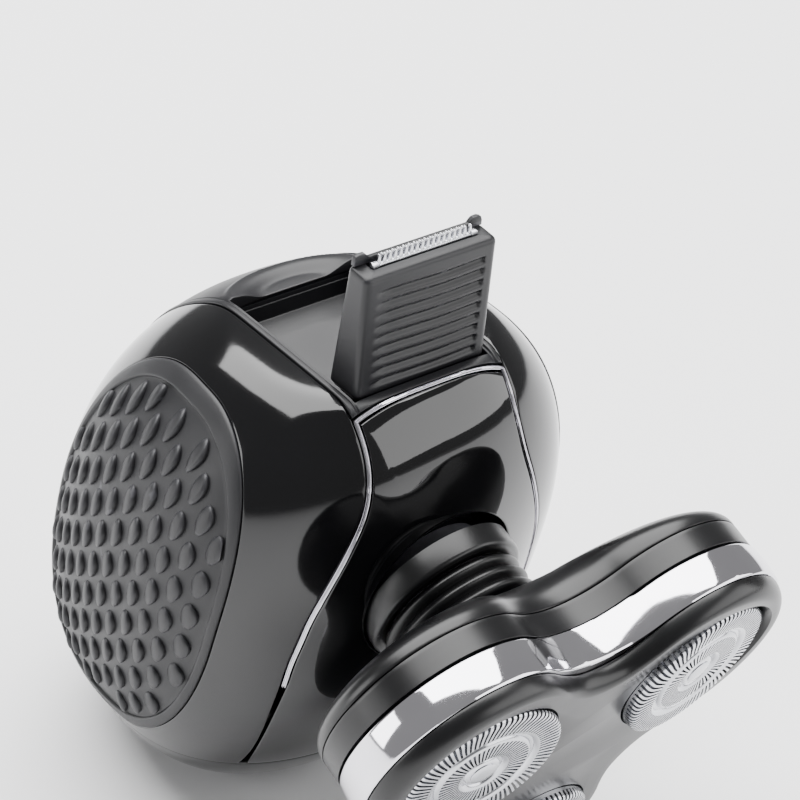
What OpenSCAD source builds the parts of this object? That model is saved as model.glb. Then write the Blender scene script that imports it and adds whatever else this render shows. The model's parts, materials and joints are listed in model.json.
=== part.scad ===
// Palm-held rotary head shaver: rounded body, fold-down hair trimmer, three-cutter floating head.
// X runs across the body, -Y is the front (the head), +Z is up. Millimetres.
// Everything is drawn with the trimmer's front foot at the origin, then set down on z = 0 by place().

/* [Body] */
// Half the width of the body
body_half_w = 35.3; // [34:0.1:36.5]
// Reach of the body in front of its centre
body_front = 27.9; // [27:0.1:29]
// Reach of the body behind its centre
body_back = 38; // [36:0.5:40]
// Half the height of the full egg shape, before its top and foot are cut flat
body_half_h = 43.6; // [43:0.1:44.5]
// How far the egg leans back for each millimetre down
body_lean = 0.21; // [0.18:0.01:0.24]
// Height of the spine above the resting face
spine_h = 80; // [79:0.5:81]
// Half the width of the spine strip
spine_half_w = 13.2; // [12.8:0.1:13.6]
// Wall of the shells
shell_wall = 2.2; // [1.8:0.1:2.4]
// How far the rubber grips stand proud of the shells
grip_proud = 0.5; // [0.2:0.1:0.8]

/* [Trimmer] */
// Width of the trimmer housing
trimmer_w = 22.5; // [22:0.1:22.8]
// Height of the trimmer housing
trimmer_h = 19.1; // [18:0.1:20]
// Thickness of the trimmer housing at its foot
trimmer_t = 6.4; // [6:0.1:6.6]
// Thickness of the trimmer housing at its top
trimmer_tip_t = 4.3; // [4:0.1:4.6]
// Number of teeth on the blades
trimmer_teeth = 18; // [14:1:20]
// Number of grip grooves
groove_count = 9; // [7:1:10]

/* [Head] */
// Angle of the head's axis below the horizontal
head_droop = 19.6; // [18:0.2:21]
// Radius of each lobe of the head
lobe_r = 16.3; // [16:0.1:16.6]
// Radius of the fillet in each valley of the head
valley_r = 15; // [13:0.5:17]
// Outer radius of a foil
foil_r = 12.1; // [11.8:0.1:12.3]
// Outward tilt of each foil
foil_tilt = 5.7; // [4:0.1:7]
// Teeth of the centre gear, a multiple of three
centre_teeth = 24; // [24:3:24]
// Teeth of each cutter gear
cutter_teeth = 30; // [30:1:30]

/* [Hidden] */
$fn = 64;
eps = 0.01;
// Exponents of the egg: in its upright sections and in plan
upright_exp = 2.4;
plan_exp = 2.35;
body_y = 20.2;
body_z = -39;
spine_crown = 0.4;
// Stations along the head's axis, from the foot of the neck outwards
neck_y = -12;
neck_z = -32.1;
pivot_s = 3.6;
cover_s = 6.2;
seam_s = 14.5;
band_s = 18.6;
band_end_s = 24.2;
frame_end_s = 27.1;
foil_s = 28;
gear_s = 15.2;
gear_t = 2;
gear_module = 0.8;
gear_centres = gear_module*(centre_teeth + cutter_teeth)/2;
ball_depth = 5.6;
// A foil leans outwards about its drive ball, so its centre sits a little further out
foil_centres = gear_centres + ball_depth*tan(foil_tilt);
frame_bore_r = foil_r + 0.4;
neck_tube_r = 8.8;
pin_r = 0.8;
pin_gap = 0.05;
hinge_y = trimmer_t/2;
hinge_z = -trimmer_t/2;
hinge_pin_r = 1;
recess_half_w = trimmer_w/2 + 0.45;
recess_front_y = -0.35;
recess_back_y = 29;
recess_front_z = -7.2;
recess_back_z = -5.2;
button_z = -42;
button_r = 6;
overall_mid_y = 7.05;
grip_mid = [24.2, -34.4];
grip_half = [22.4, 29];

// ---------- shared shapes ----------
function spow(v, e) = sign(v)*pow(abs(v), e);
function egg_pt(lat, lon, grow) =
    let(cl = spow(cos(lat), 2/upright_exp), across = spow(cos(lon), 2/plan_exp),
        along = spow(sin(lon), 2/plan_exp), z = (body_half_h + grow)*spow(sin(lat), 2/upright_exp),
        reach = along < 0 ? body_front + grow : body_back + grow)
    [(body_half_w + grow)*cl*across, reach*cl*along + body_y - body_lean*z, z + body_z];
function ring_on_egg(lat, grow, n) = [for (i = [0:n - 1]) egg_pt(lat, 360*(i + 0.5)/n, grow)];

// A closed solid through a stack of rings of points, each ring anticlockwise seen from the far end
module loft(rings) {
    n = len(rings[0]);
    last = len(rings) - 1;
    walls = [for (j = [0:last - 1], i = [0:n - 1])
        let(a = j*n + i, b = j*n + (i + 1) % n) each [[a, a + n, b + n], [a, b + n, b]]];
    polyhedron([for (r = rings) each r],
        concat([[for (i = [0:n - 1]) i]], walls, [[for (i = [n - 1:-1:0]) last*n + i]]));
}

module egg(grow, n = 44, step = 6) {
    loft([for (lat = [-84:step:84]) ring_on_egg(lat, grow, n)]);
}

// The body's outer skin moved out by grow, cut flat at the spine and at the foot
module body_solid(grow = 0) {
    intersection() {
        egg(grow);
        translate([-60, -60, -spine_h - grow]) cube([120, 160, spine_h + spine_crown + 2*grow]);
    }
}

module body_skin() {
    difference() {
        body_solid(0);
        body_solid(-shell_wall);
    }
}

// Region of the strip over the top and down the back
module spine_zone(half_w = spine_half_w) {
    rotate([90, 0, 90]) translate([0, 0, -half_w]) linear_extrude(2*half_w)
        polygon([[-1.9, 3], [-1.9, -4], [34, -4], [34, -58], [90, -58], [90, 3]]);
}

function bib_half(grow) = [[13.15 + grow, 3], [13.15 + grow, -6], [13.5 + grow, -9], [14.4 + grow, -13],
    [16.3 + grow, -17.5], [18.9 + grow, -24], [20.8 + grow, -30], [21.9 + grow, -39],
    [22 + grow, -50], [21 + grow, -66]];
// Region of the front panel: a bib that is narrow at the top and widens past the neck
module bib_zone(grow = 0) {
    half = bib_half(grow);
    mirrored = [for (i = [len(half) - 1:-1:0]) [-half[i][0], half[i][1]]];
    rotate([90, 0, 0]) translate([0, 0, -14]) linear_extrude(60) polygon(concat(half, mirrored));
}

module belly_zone() { translate([-60, -60, -90]) cube([120, 160, 24]); }

// Region of a grip on the left, seen from the side
module grip_zone(grow = 0, n = 44) {
    outline = [for (i = [0:n - 1]) let(a = 360*i/n)
        [grip_mid[0] + (grip_half[0] + grow)*spow(cos(a), 0.8),
         grip_mid[1] + (grip_half[1] + grow)*spow(sin(a), 0.8)]];
    rotate([90, 0, 90]) translate([0, 0, -60]) linear_extrude(60 - 14.2) polygon(outline);
}

// Moves a shape drawn on the head's axis (z outwards) to its place on the body
module on_head_axis(s = 0) {
    translate([0, neck_y, neck_z]) rotate([90 + head_droop, 0, 0]) translate([0, 0, s]) children();
}

lobe_angles = [30, 150, 270];
// Moves a shape drawn on a foil's own axis to cutter number k; z = 0 is the foil's face
module on_cutter(k) {
    on_head_axis(foil_s - ball_depth) rotate([0, 0, lobe_angles[k]])
        translate([gear_centres, 0, 0]) rotate([0, foil_tilt, 0]) translate([0, 0, ball_depth])
        children();
}

module on_gear(k) {
    on_head_axis(0) rotate([0, 0, lobe_angles[k]]) translate([gear_centres, 0, 0]) children();
}

// Outline of three lobes joined by filleted valleys, as points
function arc(cx, cy, r, a0, a1, n) = [for (i = [0:n]) let(a = a0 + (a1 - a0)*i/n)
    [cx + r*cos(a), cy + r*sin(a)]];
function turned(pts, a) = [for (p = pts) [p[0]*cos(a) - p[1]*sin(a), p[0]*sin(a) + p[1]*cos(a)]];
function lobed(r, fillet = valley_r) =
    let(c = foil_centres, d = (c + sqrt(4*pow(r + fillet, 2) - 3*c*c))/2,
        fx = d*cos(60), fy = d*sin(60), t = atan2(fy, fx - c),
        lobe = arc(c, 0, r, -t, t, 14), valley = arc(fx, fy, fillet, 180 + t, 300 - t, 8),
        inner = [for (i = [1:7]) valley[i]])
    [for (a = lobe_angles) each turned(concat(lobe, inner), a)];
function lifted(pts, z) = [for (p = pts) [p[0], p[1], z]];
function mixed(outer, r, f, z) = [for (p = outer) let(l = norm(p), q = [p[0]*r/l, p[1]*r/l])
    [q[0] + (p[0] - q[0])*f, q[1] + (p[1] - q[1])*f, z]];
module lobed_wall(r_out, r_in, h) {
    linear_extrude(h) difference() {
        polygon(lobed(r_out));
        polygon(lobed(r_in));
    }
}

module gear(teeth, t) {
    rp = gear_module*teeth/2;
    root = rp - gear_module*1.2;
    tip = rp + gear_module*0.85;
    pitch = 360/teeth;
    linear_extrude(t) polygon([for (i = [0:teeth - 1]) let(a = i*pitch)
        each [[root*cos(a - pitch*0.36), root*sin(a - pitch*0.36)],
              [tip*cos(a - pitch*0.11), tip*sin(a - pitch*0.11)],
              [tip*cos(a + pitch*0.11), tip*sin(a + pitch*0.11)],
              [root*cos(a + pitch*0.36), root*sin(a + pitch*0.36)]]]);
}

module place() { translate([0, -overall_mid_y, spine_h]) children(); }

module across(r, len) { rotate([0, 90, 0]) cylinder(r = r, h = len, center = true, $fn = 32); }

// ---------- body ----------
module side_shell() {
    resize([0, 0, 0]) difference() {
        intersection() {
            body_skin();
            translate([-60, -60, -90]) cube([60, 160, 100]);
        }
        spine_zone();
        bib_zone();
        belly_zone();
        difference() {
            grip_zone();
            body_solid(-1.2);
        }
    }
}
module left_shell() { color("#1b1b1e") place() side_shell(); }
module right_shell() { color("#1b1b1e") place() mirror([1, 0, 0]) side_shell(); }

module grip_pad() {
    resize([0, 0, 0]) intersection() {
        grip_zone(-0.05);
        difference() {
            body_solid(grip_proud);
            body_solid(-1.15);
        }
    }
}
module left_grip() { color("#17171a") place() grip_pad(); }
module right_grip() { color("#17171a") place() mirror([1, 0, 0]) grip_pad(); }

module recess_cut() {
    translate([-recess_half_w, 0, 0]) rotate([90, 0, 90]) linear_extrude(2*recess_half_w)
        polygon([[recess_front_y, 3], [recess_front_y, -9], [recess_back_y, -9], [recess_back_y, 3]]);
}
module spine() {
    color("#303034") place() resize([0, 0, 0]) difference() {
        intersection() {
            body_skin();
            spine_zone();
        }
        recess_cut();
        // finger scoop behind the recess
        translate([0, recess_back_y + 2, 3.4]) scale([1, 0.5, 0.45]) sphere(r = 9.5, $fn = 32);
        translate([0, 70, button_z]) rotate([90, 0, 0]) cylinder(r = button_r + 0.3, h = 30);
        translate([-4.2, 50, -29.2]) cube([8.4, 20, 2.4]);
    }
}

// The moulding's straight run along the panel's top edge
module top_piping_zone(deep = 0) {
    translate([-spine_half_w + 0.05, -2.7, -0.8]) cube([2*spine_half_w - 0.1, 0.78 + deep, 3]);
}
module front_panel() {
    color("#26262a") place() resize([0, 0, 0]) difference() {
        intersection() {
            body_skin();
            bib_zone(-0.7);
        }
        spine_zone(60);
        belly_zone();
        top_piping_zone(0.3);
        on_head_axis(-20) cylinder(r = 12.4, h = 30);
    }
}

// Thin bright moulding between the front panel and the shells
module chrome_piping() {
    color("#c8c8cc") place() resize([0, 0, 0]) intersection() {
        difference() {
            body_solid(0.15);
            body_solid(-1.3);
        }
        union() {
            difference() {
                bib_zone(0);
                bib_zone(-0.7);
                spine_zone(60);
                belly_zone();
            }
            top_piping_zone();
        }
    }
}

module belly_cover() {
    color("#1d1d20") place() resize([0, 0, 0]) difference() {
        intersection() {
            body_skin();
            belly_zone();
        }
        translate([-4.6, 44, -73.2]) cube([9.2, 30, 3.6]);
        for (p = screw_spots) translate([p[0], p[1], -90]) cylinder(r = 1.9, h = 20, $fn = 24);
    }
}
screw_spots = [[-9, 22], [9, 22], [-9, 40], [9, 40]];

module recess_tray() {
    floor_t = 1.2;
    wall_x = recess_half_w + 1;
    color("#2b2b2f") place() difference() {
        translate([-wall_x, 0, 0]) rotate([90, 0, 90]) linear_extrude(2*wall_x)
            polygon([[7.4, recess_front_z - floor_t], [recess_back_y + 1, recess_back_z - floor_t],
                [recess_back_y + 1, -3.1], [24, -1.9], [7.4, -1.9]]);
        translate([-recess_half_w, 0, 0]) rotate([90, 0, 90]) linear_extrude(2*recess_half_w)
            polygon([[7, recess_front_z], [recess_back_y, recess_back_z], [recess_back_y, 0], [7, 0]]);
    }
}

// Two lugs under the spine that carry the trimmer's hinge pin
module trimmer_lugs() {
    lug_t = 2.4;
    color("#2b2b2f") place() difference() {
        union() {
            for (side = [-1, 1]) translate([side*8.8, hinge_y, hinge_z]) {
                across(2.5, lug_t);
                translate([-lug_t/2, -2.5, -6.4]) cube([lug_t, 5, 6.4]);
            }
            translate([-10, 0.7, -10.8]) cube([20, 6.5, 1.3]);
        }
        translate([0, hinge_y, hinge_z]) across(hinge_pin_r + pin_gap, 30);
    }
}

module inner_chassis() {
    color("#4a4a50") place() union() {
        difference() {
            on_head_axis(-30) difference() {
                cylinder(r = 13, h = 16);
                translate([0, 0, -1]) cylinder(r = 11.05, h = 30);
            }
        }
        translate([-16, 14, -59]) cube([32, 34, 2]);
        for (x = [-14, 12]) translate([x, 18, -57]) cube([2, 8, 16]);
    }
}
module battery_cell() {
    color("#3c6e9c") place() translate([0, 38, -47]) union() {
        across(9, 46);
        across(3, 48);
    }
}
module circuit_board() {
    color("#2f6b3c") place() union() {
        translate([-15, 24, -16]) cube([30, 18, 1.6]);
        for (x = [-10, 0, 7]) translate([x, 28, -14.4]) cube([5, 7, 1.6]);
    }
}
module drive_motor() {
    color("#8f9094") place() on_head_axis(-32) union() {
        cylinder(r = 11, h = 22);
        translate([0, 0, 22 - eps]) cylinder(r = 4, h = 1.5);
        translate([0, 0, -1.5]) cylinder(r = 3, h = 1.5 + eps);
    }
}
module neck_collar() {
    color("#18181b") place() on_head_axis(0) rotate_extrude()
        polygon([[9.7, -5], [12.3, -5], [12.3, -1.6], [11.8, -1.1], [10.2, -1.1], [9.7, -1.6]]);
}
// Tube that carries the gimbal, with an ear on each side
module neck_tube() {
    color("#55555a") place() on_head_axis(0) difference() {
        union() {
            translate([0, 0, -8]) cylinder(r = neck_tube_r, h = 8.2);
            for (side = [-1, 1]) translate([side*7.9 - 0.8, -2.2, 0]) cube([1.6, 4.4, 5.6]);
        }
        translate([0, 0, -9]) cylinder(r = 6.8, h = 20);
        translate([0, 0, pivot_s]) across(pin_r + pin_gap, 30);
    }
}
// Soft ribbed sleeve between the collar and the head
module neck_bellows() {
    ribs = 3;
    pitch = 2.1;
    foot = -1;
    outer = [for (i = [0:ribs - 1]) each [[10.3, foot + i*pitch], [11.2, foot + i*pitch + pitch/2]]];
    color("#151517") place() on_head_axis(0) rotate_extrude()
        polygon(concat([[9.4, foot]], outer, [[10.3, foot + ribs*pitch], [9.4, foot + ribs*pitch]]));
}
module charge_socket() {
    color("#b9babd") place() translate([0, 54, -71.4]) rotate([90, 0, 0]) difference() {
        linear_extrude(8) polygon([[-4.4, -1.1], [-3.8, -1.6], [3.8, -1.6], [4.4, -1.1],
            [4.4, 1.1], [3.8, 1.6], [-3.8, 1.6], [-4.4, 1.1]]);
        translate([-3.9, -1.2, -1]) cube([7.8, 2.4, 7.5]);
    }
}
module charge_window() { color("#9fb4c4") place() translate([-4.1, 52.6, -29.1]) cube([8.2, 3, 2.2]); }
module shell_screws() {
    color("#8d8f93") place() for (p = screw_spots) translate([p[0], p[1], -79.2]) difference() {
        union() {
            cylinder(r = 1.8, h = 1.6, $fn = 24);
            cylinder(r = 1.1, h = 9, $fn = 24);
        }
        for (a = [0, 90]) rotate([0, 0, a]) translate([-1, -0.25, -0.5]) cube([2, 0.5, 1.1]);
    }
}

// ---------- power button on the back ----------
button_face_y = 58.4;
module power_button() {
    color("#3a3a3f") place() translate([0, button_face_y, button_z]) rotate([90, 0, 0]) difference() {
        union() {
            cylinder(r = button_r, h = 3.2);
            cylinder(r = 2, h = 5.4);
        }
        translate([0, 0, -18.6]) sphere(r = 19, $fn = 48);
    }
}
module button_spring() {
    color("#b0b2b6") place() translate([0, button_face_y - 5.6, button_z]) rotate([90, 0, 0])
        difference() {
            cylinder(r = 7.6, h = 0.6);
            translate([0, 0, -1]) cylinder(r = 2.6, h = 3);
        }
}

// ---------- trimmer, raised ----------
module trimmer_profile() {
    polygon([[0, -0.4], [trimmer_t - 0.6, -0.4], [trimmer_t, 0.4], [trimmer_tip_t, trimmer_h - 0.6],
        [2.4, trimmer_h + 0.3], [0.4, trimmer_h - 0.2], [0, trimmer_h - 0.6]]);
}
module trimmer_housing() {
    groove_pitch = 1.8;
    color("#333338") place() difference() {
        union() {
            translate([-trimmer_w/2, 0, 0]) rotate([90, 0, 90]) linear_extrude(trimmer_w)
                trimmer_profile();
            translate([0, hinge_y, hinge_z]) across(2.3, 14);
            translate([-7, hinge_y - 2.3, hinge_z]) cube([14, 4.6, -hinge_z]);
        }
        for (i = [0:groove_count - 1])
            translate([0, -0.15, 1.6 + i*groove_pitch]) across(0.6, 18.6);
        translate([0, hinge_y, hinge_z]) across(hinge_pin_r, 30);
        translate([-8.4, 1.5, 9]) cube([16.8, 2.4, 20]);
    }
}
module trimmer_pin() {
    color("#a9abb0") place() translate([0, hinge_y, hinge_z]) across(hinge_pin_r, 20);
}
module trimmer_back_plate() {
    plate_y = 3.1;
    color("#2a2a2e") place() union() {
        translate([-8.3, plate_y, 9.1]) cube([16.6, 0.7, 10.6]);
        for (side = [-1, 1]) translate([side*9.7 - 1.1, plate_y - 0.6, trimmer_h + 0.35]) cube([2.2, 1.6, 1.4]);
        translate([-10.8, plate_y, trimmer_h + 0.1]) cube([21.6, 1, 0.8]);
    }
}
function comb(n, w, root, tip) = concat([[-w/2, 0], [w/2, 0]],
    [for (i = [0:n - 1]) let(x = w/2 - i*w/n) each [[x, root], [x - w/n/2, tip]]], [[-w/2, root]]);
module trimmer_fixed_blade() {
    color("#d4d5d8") place() translate([0, 2.4, 9.2]) rotate([90, 0, 0]) linear_extrude(0.5)
        polygon(comb(trimmer_teeth, 16.4, 10.2, 11.8));
}
module trimmer_moving_blade() {
    color("#c4c6ca") place() translate([0, 2.95, 9.2]) rotate([90, 0, 0]) linear_extrude(0.5)
        polygon(comb(trimmer_teeth - 2, 14.6, 10.3, 11.5));
}
module trimmer_detent() {
    color("#b7b9bd") place() translate([-5, 6.2, -9.5]) cube([10, 8, 0.5]);
}

// ---------- drive through the neck ----------
module drive_shaft() {
    color("#b4b6ba") place() on_head_axis(0) union() {
        translate([0, 0, -7.3]) cylinder(r = 1.2, h = 9);
        translate([0, 0, -7.3]) cylinder(r = 4.6, h = 3, $fn = 48);
        difference() {
            translate([0, 0, 1]) cylinder(r = 3.4, h = 4.4);
            translate([0, 0, 1.8]) cylinder(r = 2.4, h = 6);
        }
    }
}
// Ring between neck and head: two pins turn in the neck's ears, two in the head's
module gimbal_ring() {
    color("#9c9ea3") place() on_head_axis(pivot_s) difference() {
        union() {
            translate([0, 0, -1.3]) cylinder(r = 6.2, h = 2.6);
            across(pin_r, 17.2);
            rotate([0, 0, 90]) across(pin_r, 17.2);
        }
        translate([0, 0, -2]) cylinder(r = 4.6, h = 4);
    }
}

// ---------- head ----------
module head_cover() {
    rim = lobed(lobe_r);
    rim_in = lobed(lobe_r - 1.6);
    color("#1f1f22") place() on_head_axis(0) resize([0, 0, 0]) difference() {
        loft([mixed(rim, 12.2, 0, cover_s), mixed(rim, 12.8, 0.12, cover_s + 0.6),
            mixed(rim, 13, 0.45, cover_s + 1.7), mixed(rim, 13, 0.74, cover_s + 3.4),
            mixed(rim, 13, 0.92, cover_s + 5.6), lifted(rim, seam_s)]);
        loft([mixed(rim_in, 11.4, 0, cover_s + 1.5), mixed(rim_in, 12, 0.45, cover_s + 3),
            mixed(rim_in, 12, 0.85, cover_s + 5.6), lifted(rim_in, seam_s + 1)]);
        translate([0, 0, cover_s - 1]) cylinder(r = 10.4, h = 4);
    }
}
module head_ring() {
    color("#242428") place() on_head_axis(seam_s) lobed_wall(lobe_r, lobe_r - 1.6, band_s - seam_s);
}
module chrome_band() {
    color("#d9d8dd") place() on_head_axis(band_s)
        lobed_wall(lobe_r + 0.15, lobe_r - 1.6, band_end_s - band_s);
}
// Hub on the gear plate with two ears for the gimbal's second pair of pins
module head_hub() {
    ear_foot = pivot_s - 2;
    color("#4c4c52") place() on_head_axis(0) difference() {
        union() {
            translate([0, 0, cover_s + 2]) cylinder(r = 9, h = 12.4 - cover_s - 2);
            for (side = [-1, 1]) translate([-2.2, side*7.9 - 0.8, ear_foot])
                cube([4.4, 1.6, cover_s + 3 - ear_foot]);
        }
        cylinder(r = 6.9, h = 11);
        translate([0, 0, pivot_s]) rotate([0, 0, 90]) across(pin_r + pin_gap, 30);
        cylinder(r = 1.3, h = 30);
    }
}
module gear_plate() {
    color("#5a5a60") place() on_head_axis(12.4) difference() {
        linear_extrude(2) polygon(lobed(lobe_r - 5.5));
        translate([0, 0, -1]) cylinder(r = 1.27, h = 4);
        for (a = lobe_angles) rotate([0, 0, a]) translate([gear_centres, 0, -1])
            cylinder(r = 1.22, h = 4);
    }
}
module gear_cover() {
    color("#5a5a60") place() on_head_axis(18) difference() {
        linear_extrude(1.6) polygon(lobed(lobe_r - 2));
        translate([0, 0, -1]) cylinder(r = 1.27, h = 4);
        for (a = lobe_angles) rotate([0, 0, a]) translate([gear_centres, 0, -1])
            cylinder(r = 1.22, h = 4);
    }
}
// The spindle's inner end is a ball that sits in the drive shaft's cup
module centre_gear() {
    color("#d9d4c4") place() on_head_axis(0) union() {
        translate([0, 0, gear_s]) gear(centre_teeth, gear_t);
        translate([0, 0, pivot_s]) cylinder(r = 1.2, h = 15.5);
        translate([0, 0, pivot_s]) sphere(r = 1.8, $fn = 32);
    }
}
module cutter_gear(k) {
    color("#d9d4c4") place() on_gear(k) union() {
        translate([0, 0, gear_s]) rotate([0, 0, 180 + 180/cutter_teeth]) gear(cutter_teeth, gear_t);
        translate([0, 0, 12.6]) cylinder(r = 1.15, h = foil_s - ball_depth - 12.6);
        translate([0, 0, foil_s - ball_depth]) sphere(r = 1.5, $fn = 32);
    }
}
module cutter_gear_1() { cutter_gear(0); }
module cutter_gear_2() { cutter_gear(1); }
module cutter_gear_3() { cutter_gear(2); }

module foil_frame() {
    color("#202023") place() difference() {
        on_head_axis(0) loft([lifted(lobed(lobe_r - 0.1), band_end_s),
            lifted(lobed(lobe_r - 0.2), band_end_s + 1), lifted(lobed(lobe_r - 0.9), band_end_s + 2.1),
            lifted(lobed(lobe_r - 2.4), frame_end_s)]);
        for (k = [0:2]) on_cutter(k) translate([0, 0, -12]) cylinder(r = frame_bore_r, h = 24);
    }
}
// Slotted cap: a raised outer track, a groove, an inner track and a plain centre
module foil(k) {
    color("#cfd0d4") place() on_cutter(k) rotate_extrude($fn = 72)
        polygon([[0, -1.1], [2.6, -1.1], [3.4, -0.6], [6.8, -0.6], [7.3, -1], [7.9, -1], [8.4, -0.6],
            [11.2, -0.6], [11.5, -1.2], [11.5, -4.6], [foil_r, -4.6], [foil_r, -0.6], [11.5, 0],
            [8.2, 0], [7.8, -0.5], [7.4, -0.5], [7, 0], [3.6, 0], [3, -0.5], [0, -0.5]]);
}
module foil_1() { foil(0); }
module foil_2() { foil(1); }
module foil_3() { foil(2); }

// Rotor with two rings of blades and a drive cup for the gear spindle's ball
module cutter(k) {
    cup_depth = 6.4;
    color("#b9bbc0") place() on_cutter(k) union() {
        difference() {
            union() {
                translate([0, 0, -3.2]) cylinder(r = 10.6, h = 1);
                translate([0, 0, -cup_depth]) cylinder(r = 3.5, h = cup_depth - 1.9);
            }
            translate([0, 0, -cup_depth - 1]) cylinder(r = 2.4, h = cup_depth - 1.6);
        }
        for (i = [0:8]) rotate([0, 0, 40*i]) {
            translate([8.8, -0.25, -2.3]) cube([1.8, 0.5, 1.55]);
            translate([4.2, -0.25, -2.3]) cube([1.8, 0.5, 1.55]);
        }
    }
}
module cutter_1() { cutter(0); }
module cutter_2() { cutter(1); }
module cutter_3() { cutter(2); }

module cutter_springs() {
    color("#aeb0b4") place() for (k = [0:2]) on_cutter(k) translate([0, 0, -8]) difference() {
        cylinder(r = 3.3, h = 0.3);
        translate([0, 0, -1]) cylinder(r = 2.2, h = 3);
    }
}

left_shell();
right_shell();
spine();
front_panel();
belly_cover();
left_grip();
right_grip();
chrome_piping();
recess_tray();
trimmer_lugs();
inner_chassis();
battery_cell();
circuit_board();
drive_motor();
neck_collar();
neck_tube();
neck_bellows();
charge_socket();
charge_window();
shell_screws();
button_spring();
trimmer_detent();
power_button();
trimmer_housing();
trimmer_pin();
trimmer_back_plate();
trimmer_fixed_blade();
trimmer_moving_blade();
drive_shaft();
gimbal_ring();
head_cover();
head_ring();
chrome_band();
head_hub();
gear_plate();
gear_cover();
centre_gear();
cutter_gear_1();
cutter_gear_2();
cutter_gear_3();
foil_frame();
foil_1();
foil_2();
foil_3();
cutter_1();
cutter_2();
cutter_3();
cutter_springs();
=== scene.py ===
"""Looks of a palm-held rotary shaver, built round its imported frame.

Lengths are millimetres in the design frame: the raised trimmer's front foot is the origin, X runs
across the body, -Y is the front (the head) and +Z is up. The bench turns them into the row frame.
"""

from __future__ import annotations

import itertools
import json
import logging
import math
from collections.abc import Callable, Sequence
from dataclasses import dataclass, field
from enum import Enum

import bmesh
import bpy
import numpy as np
from mathutils import Matrix, Vector

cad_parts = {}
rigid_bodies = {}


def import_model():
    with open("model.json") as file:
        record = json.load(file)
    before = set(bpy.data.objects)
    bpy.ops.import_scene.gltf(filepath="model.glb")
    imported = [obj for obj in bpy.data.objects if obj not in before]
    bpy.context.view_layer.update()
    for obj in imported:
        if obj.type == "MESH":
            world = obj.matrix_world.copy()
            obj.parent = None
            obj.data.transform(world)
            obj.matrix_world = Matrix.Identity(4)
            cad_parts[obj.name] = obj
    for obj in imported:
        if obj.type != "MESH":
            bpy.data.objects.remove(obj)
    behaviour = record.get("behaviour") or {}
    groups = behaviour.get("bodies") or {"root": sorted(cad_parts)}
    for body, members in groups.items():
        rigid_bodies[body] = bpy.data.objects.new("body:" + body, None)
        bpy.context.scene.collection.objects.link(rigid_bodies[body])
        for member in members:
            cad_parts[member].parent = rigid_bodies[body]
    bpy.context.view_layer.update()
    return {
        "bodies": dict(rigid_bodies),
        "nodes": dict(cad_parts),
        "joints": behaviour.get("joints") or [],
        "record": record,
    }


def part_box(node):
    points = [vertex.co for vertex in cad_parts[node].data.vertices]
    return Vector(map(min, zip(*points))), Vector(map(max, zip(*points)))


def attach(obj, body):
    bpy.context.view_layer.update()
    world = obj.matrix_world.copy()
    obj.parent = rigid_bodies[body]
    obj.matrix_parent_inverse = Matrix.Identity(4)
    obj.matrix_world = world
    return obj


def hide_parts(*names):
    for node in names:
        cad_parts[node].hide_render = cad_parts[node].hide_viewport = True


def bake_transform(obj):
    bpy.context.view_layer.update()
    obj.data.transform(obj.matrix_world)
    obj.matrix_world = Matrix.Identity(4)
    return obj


LOG = logging.getLogger("shaver")
MM = 0.001
WELD = 1e-7  # metres, below which two vertices are one
Shape = tuple[list[np.ndarray], list[list[int]]]
MIRROR = np.array([-1, 1, 1])
FRONT, BACK, LEFT, UP = (0, -1.0, 0), (0, 1.0, 0), (-1.0, 0, 0), (0, 0, 1.0)


# ---------------------------------------------------------------- small maths
def turn(axis: str, degrees: float) -> np.ndarray:
    """Make a 3x3 turn about one axis.

    Args:
        axis: "x", "y" or "z".
        degrees: The angle, right-handed.

    Returns:
        The rotation matrix.
    """
    return np.array(Matrix.Rotation(math.radians(degrees), 3, axis.upper()))


def smoothstep(value: np.ndarray | float) -> np.ndarray:
    """Ease from 0 to 1 over the span 0 to 1."""
    t = np.clip(value, 0.0, 1.0)
    return t * t * (3.0 - 2.0 * t)


def unit(vectors: np.ndarray) -> np.ndarray:
    """Scale vectors to length one."""
    return vectors / np.maximum(np.linalg.norm(vectors, axis=-1, keepdims=True), 1e-9)


def polar(radius: np.ndarray | float, angles: np.ndarray, height: np.ndarray | float) -> np.ndarray:
    """Points on a ring.

    Args:
        radius: One radius or one for each angle.
        angles: Angles in radians.
        height: One height or one for each angle.

    Returns:
        An N x 3 array.
    """
    high = np.broadcast_to(height, angles.shape)
    return np.stack([radius * np.cos(angles), radius * np.sin(angles), high], axis=-1)


def rounded_box(half_x: float, y0: float, y1: float, corner: float, count: int) -> np.ndarray:
    """A rounded rectangle in the XY plane, anticlockwise, centred on x = 0.

    Args:
        half_x: Half its width.
        y0: Its front edge.
        y1: Its back edge.
        corner: Corner radius.
        count: Points, a multiple of four.

    Returns:
        A count x 2 array, evenly spread round the outline.
    """
    half_y = (y1 - y0) / 2
    dense = []
    for k, (sx, sy) in enumerate([(1, 1), (-1, 1), (-1, -1), (1, -1)]):
        a = np.radians(90 * k + np.linspace(0, 90, 12))
        centre = np.array([sx * (half_x - corner), (y0 + y1) / 2 + sy * (half_y - corner)])
        dense.append(centre + corner * np.stack([np.cos(a), np.sin(a)], axis=-1))
    loop = np.concatenate(dense + [dense[0][:1]])
    run = np.concatenate([[0], np.cumsum(np.linalg.norm(np.diff(loop, axis=0), axis=1))])
    at = np.linspace(0, run[-1], count, endpoint=False)
    return np.stack([np.interp(at, run, loop[:, i]) for i in range(2)], axis=-1)


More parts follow.
